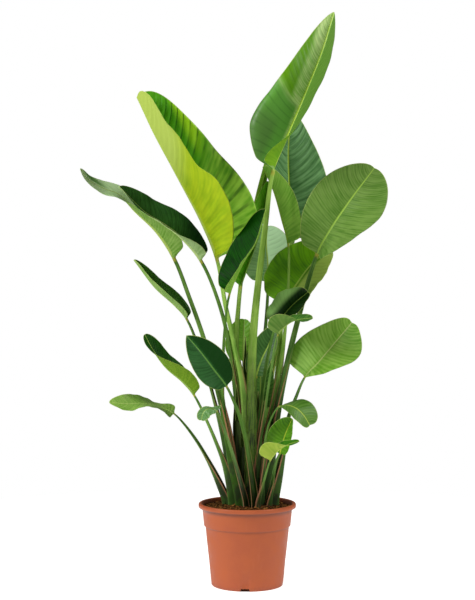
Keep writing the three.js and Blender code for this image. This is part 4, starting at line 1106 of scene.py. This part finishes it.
shape = bmesh.new()
wall = [(0, 4), (FOOT_RADIUS - 5.4, 4), (FOOT_RADIUS - 2.4, 8), (STEP_RADIUS - 2.4, 141),
        (STEP_RADIUS + 1.2, 149), (SOIL_RADIUS, 184)]
top = [(SOIL_RADIUS * (1 - i / SOIL_RINGS), SOIL_EDGE) for i in range(SOIL_RINGS + 1)]
corners = [shape.verts.new((r, 0, z)) for r, z in wall + top]
ribs = [shape.edges.new(pair) for pair in zip(corners, corners[1:])]
bmesh.ops.spin(shape, geom=corners + ribs, axis=(0, 0, 1), cent=(0, 0, 0), angle=2 * math.pi,
               steps=120, use_merge=True)
bmesh.ops.remove_doubles(shape, verts=shape.verts, dist=0.01)
for vertex in shape.verts:
    if vertex.co.z > SOIL_EDGE - 1:
        vertex.co.z = soil_height(vertex.co.x, vertex.co.y)
bmesh.ops.recalc_face_normals(shape, faces=shape.faces)
bmesh.ops.scale(shape, vec=(MM, MM, MM), verts=shape.verts)
print("mix faces:", len(shape.faces))

# %% The colour of bark and peat
finish, tree, shader = new_finish("bark_and_peat")
place = add(tree, "ShaderNodeTexCoord").outputs["Object"]
shade = add(tree, "ShaderNodeAttribute", attribute_name="shade").outputs["Fac"]
crumbs = speckle(tree, place, 260.0, 4.0, 0.7)
dark = mixed(tree, mask(tree, crumbs, 0.35, 0.7), tone("#180c03"), tone("#4c2a0c"))
bark = mixed(tree, mask(tree, crumbs, 0.3, 0.7), tone("#6f3f14"), tone("#c98f48"))
tree.links.new(mixed(tree, shade, dark, bark), shader.inputs["Base Color"])
tree.links.new(mask(tree, crumbs, -1.5, 1.0), shader.inputs["Roughness"])
bump = add(tree, "ShaderNodeBump", {"Height": crumbs, "Strength": 0.8, "Distance": 0.002})
tree.links.new(bump.outputs[0], shader.inputs["Normal"])
shader.inputs["Specular IOR Level"].default_value = 0.1
keep("mix_body", shape, finish, "potting_mix", "potting_mix")

# %% Loose bark
random.seed(5)
shape = bmesh.new()
shade_layer = shape.faces.layers.float.new("shade")
KINDS = (  # share, length, width, thickness in mm, lightest shade, ball or cube
    (0.45, (4, 9), (3, 6), (2, 4), 0.35, True),
    (0.45, (6, 15), (3, 7), (1.2, 3), 0.7, False),
    (0.10, (10, 22), (0.7, 1.3), (0.6, 1.0), 1.0, False),
)
LOOSE_BITS = 1100
for share, lengths, widths, depths, lightest, ball in KINDS:
    for i in range(int(LOOSE_BITS * share)):
        radius = (SOIL_RADIUS - 5) * math.sqrt(random.random())
        turn = random.uniform(0, 2 * math.pi)
        x, y = radius * math.cos(turn), radius * math.sin(turn)
        size = Vector([random.uniform(*span) for span in (lengths, widths, depths)])
        place = (Matrix.Translation((x, y, soil_height(x, y) + 0.3 * size.z))
                 @ Matrix.Rotation(random.uniform(0, 6.28), 4, "Z")
                 @ Matrix.Rotation(random.gauss(0, 0.3), 4, "X")
                 @ Matrix.Rotation(random.gauss(0, 0.25), 4, "Y") @ Matrix.Diagonal((*size, 1)))
        if ball:
            made = bmesh.ops.create_icosphere(shape, subdivisions=1, radius=0.5, matrix=place)
        else:
            made = bmesh.ops.create_cube(shape, size=1, matrix=place)
        for vertex in made["verts"]:
            vertex.co += Vector([random.uniform(-0.16, 0.16) * s for s in size])
        value = lightest * random.random() ** 2
        for face in {face for vertex in made["verts"] for face in vertex.link_faces}:
            face[shade_layer] = value
bmesh.ops.recalc_face_normals(shape, faces=shape.faces)
bmesh.ops.scale(shape, vec=(MM, MM, MM), verts=shape.verts)
print("bark faces:", len(shape.faces))
chips = keep("loose_bark", shape, finish, "potting_mix")
for polygon in chips.data.polygons:
    polygon.use_smooth = False

# %% [markdown]
# The dressed plant must be as large as the CAD model. Both boxes are written down side by side.

# %% Sizes
dressed_box = [list(corner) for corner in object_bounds()]
for name, box in (("cad", cad_box), ("scene", dressed_box)):
    print(name, [round(high - low, 4) for low, high in zip(*box)])
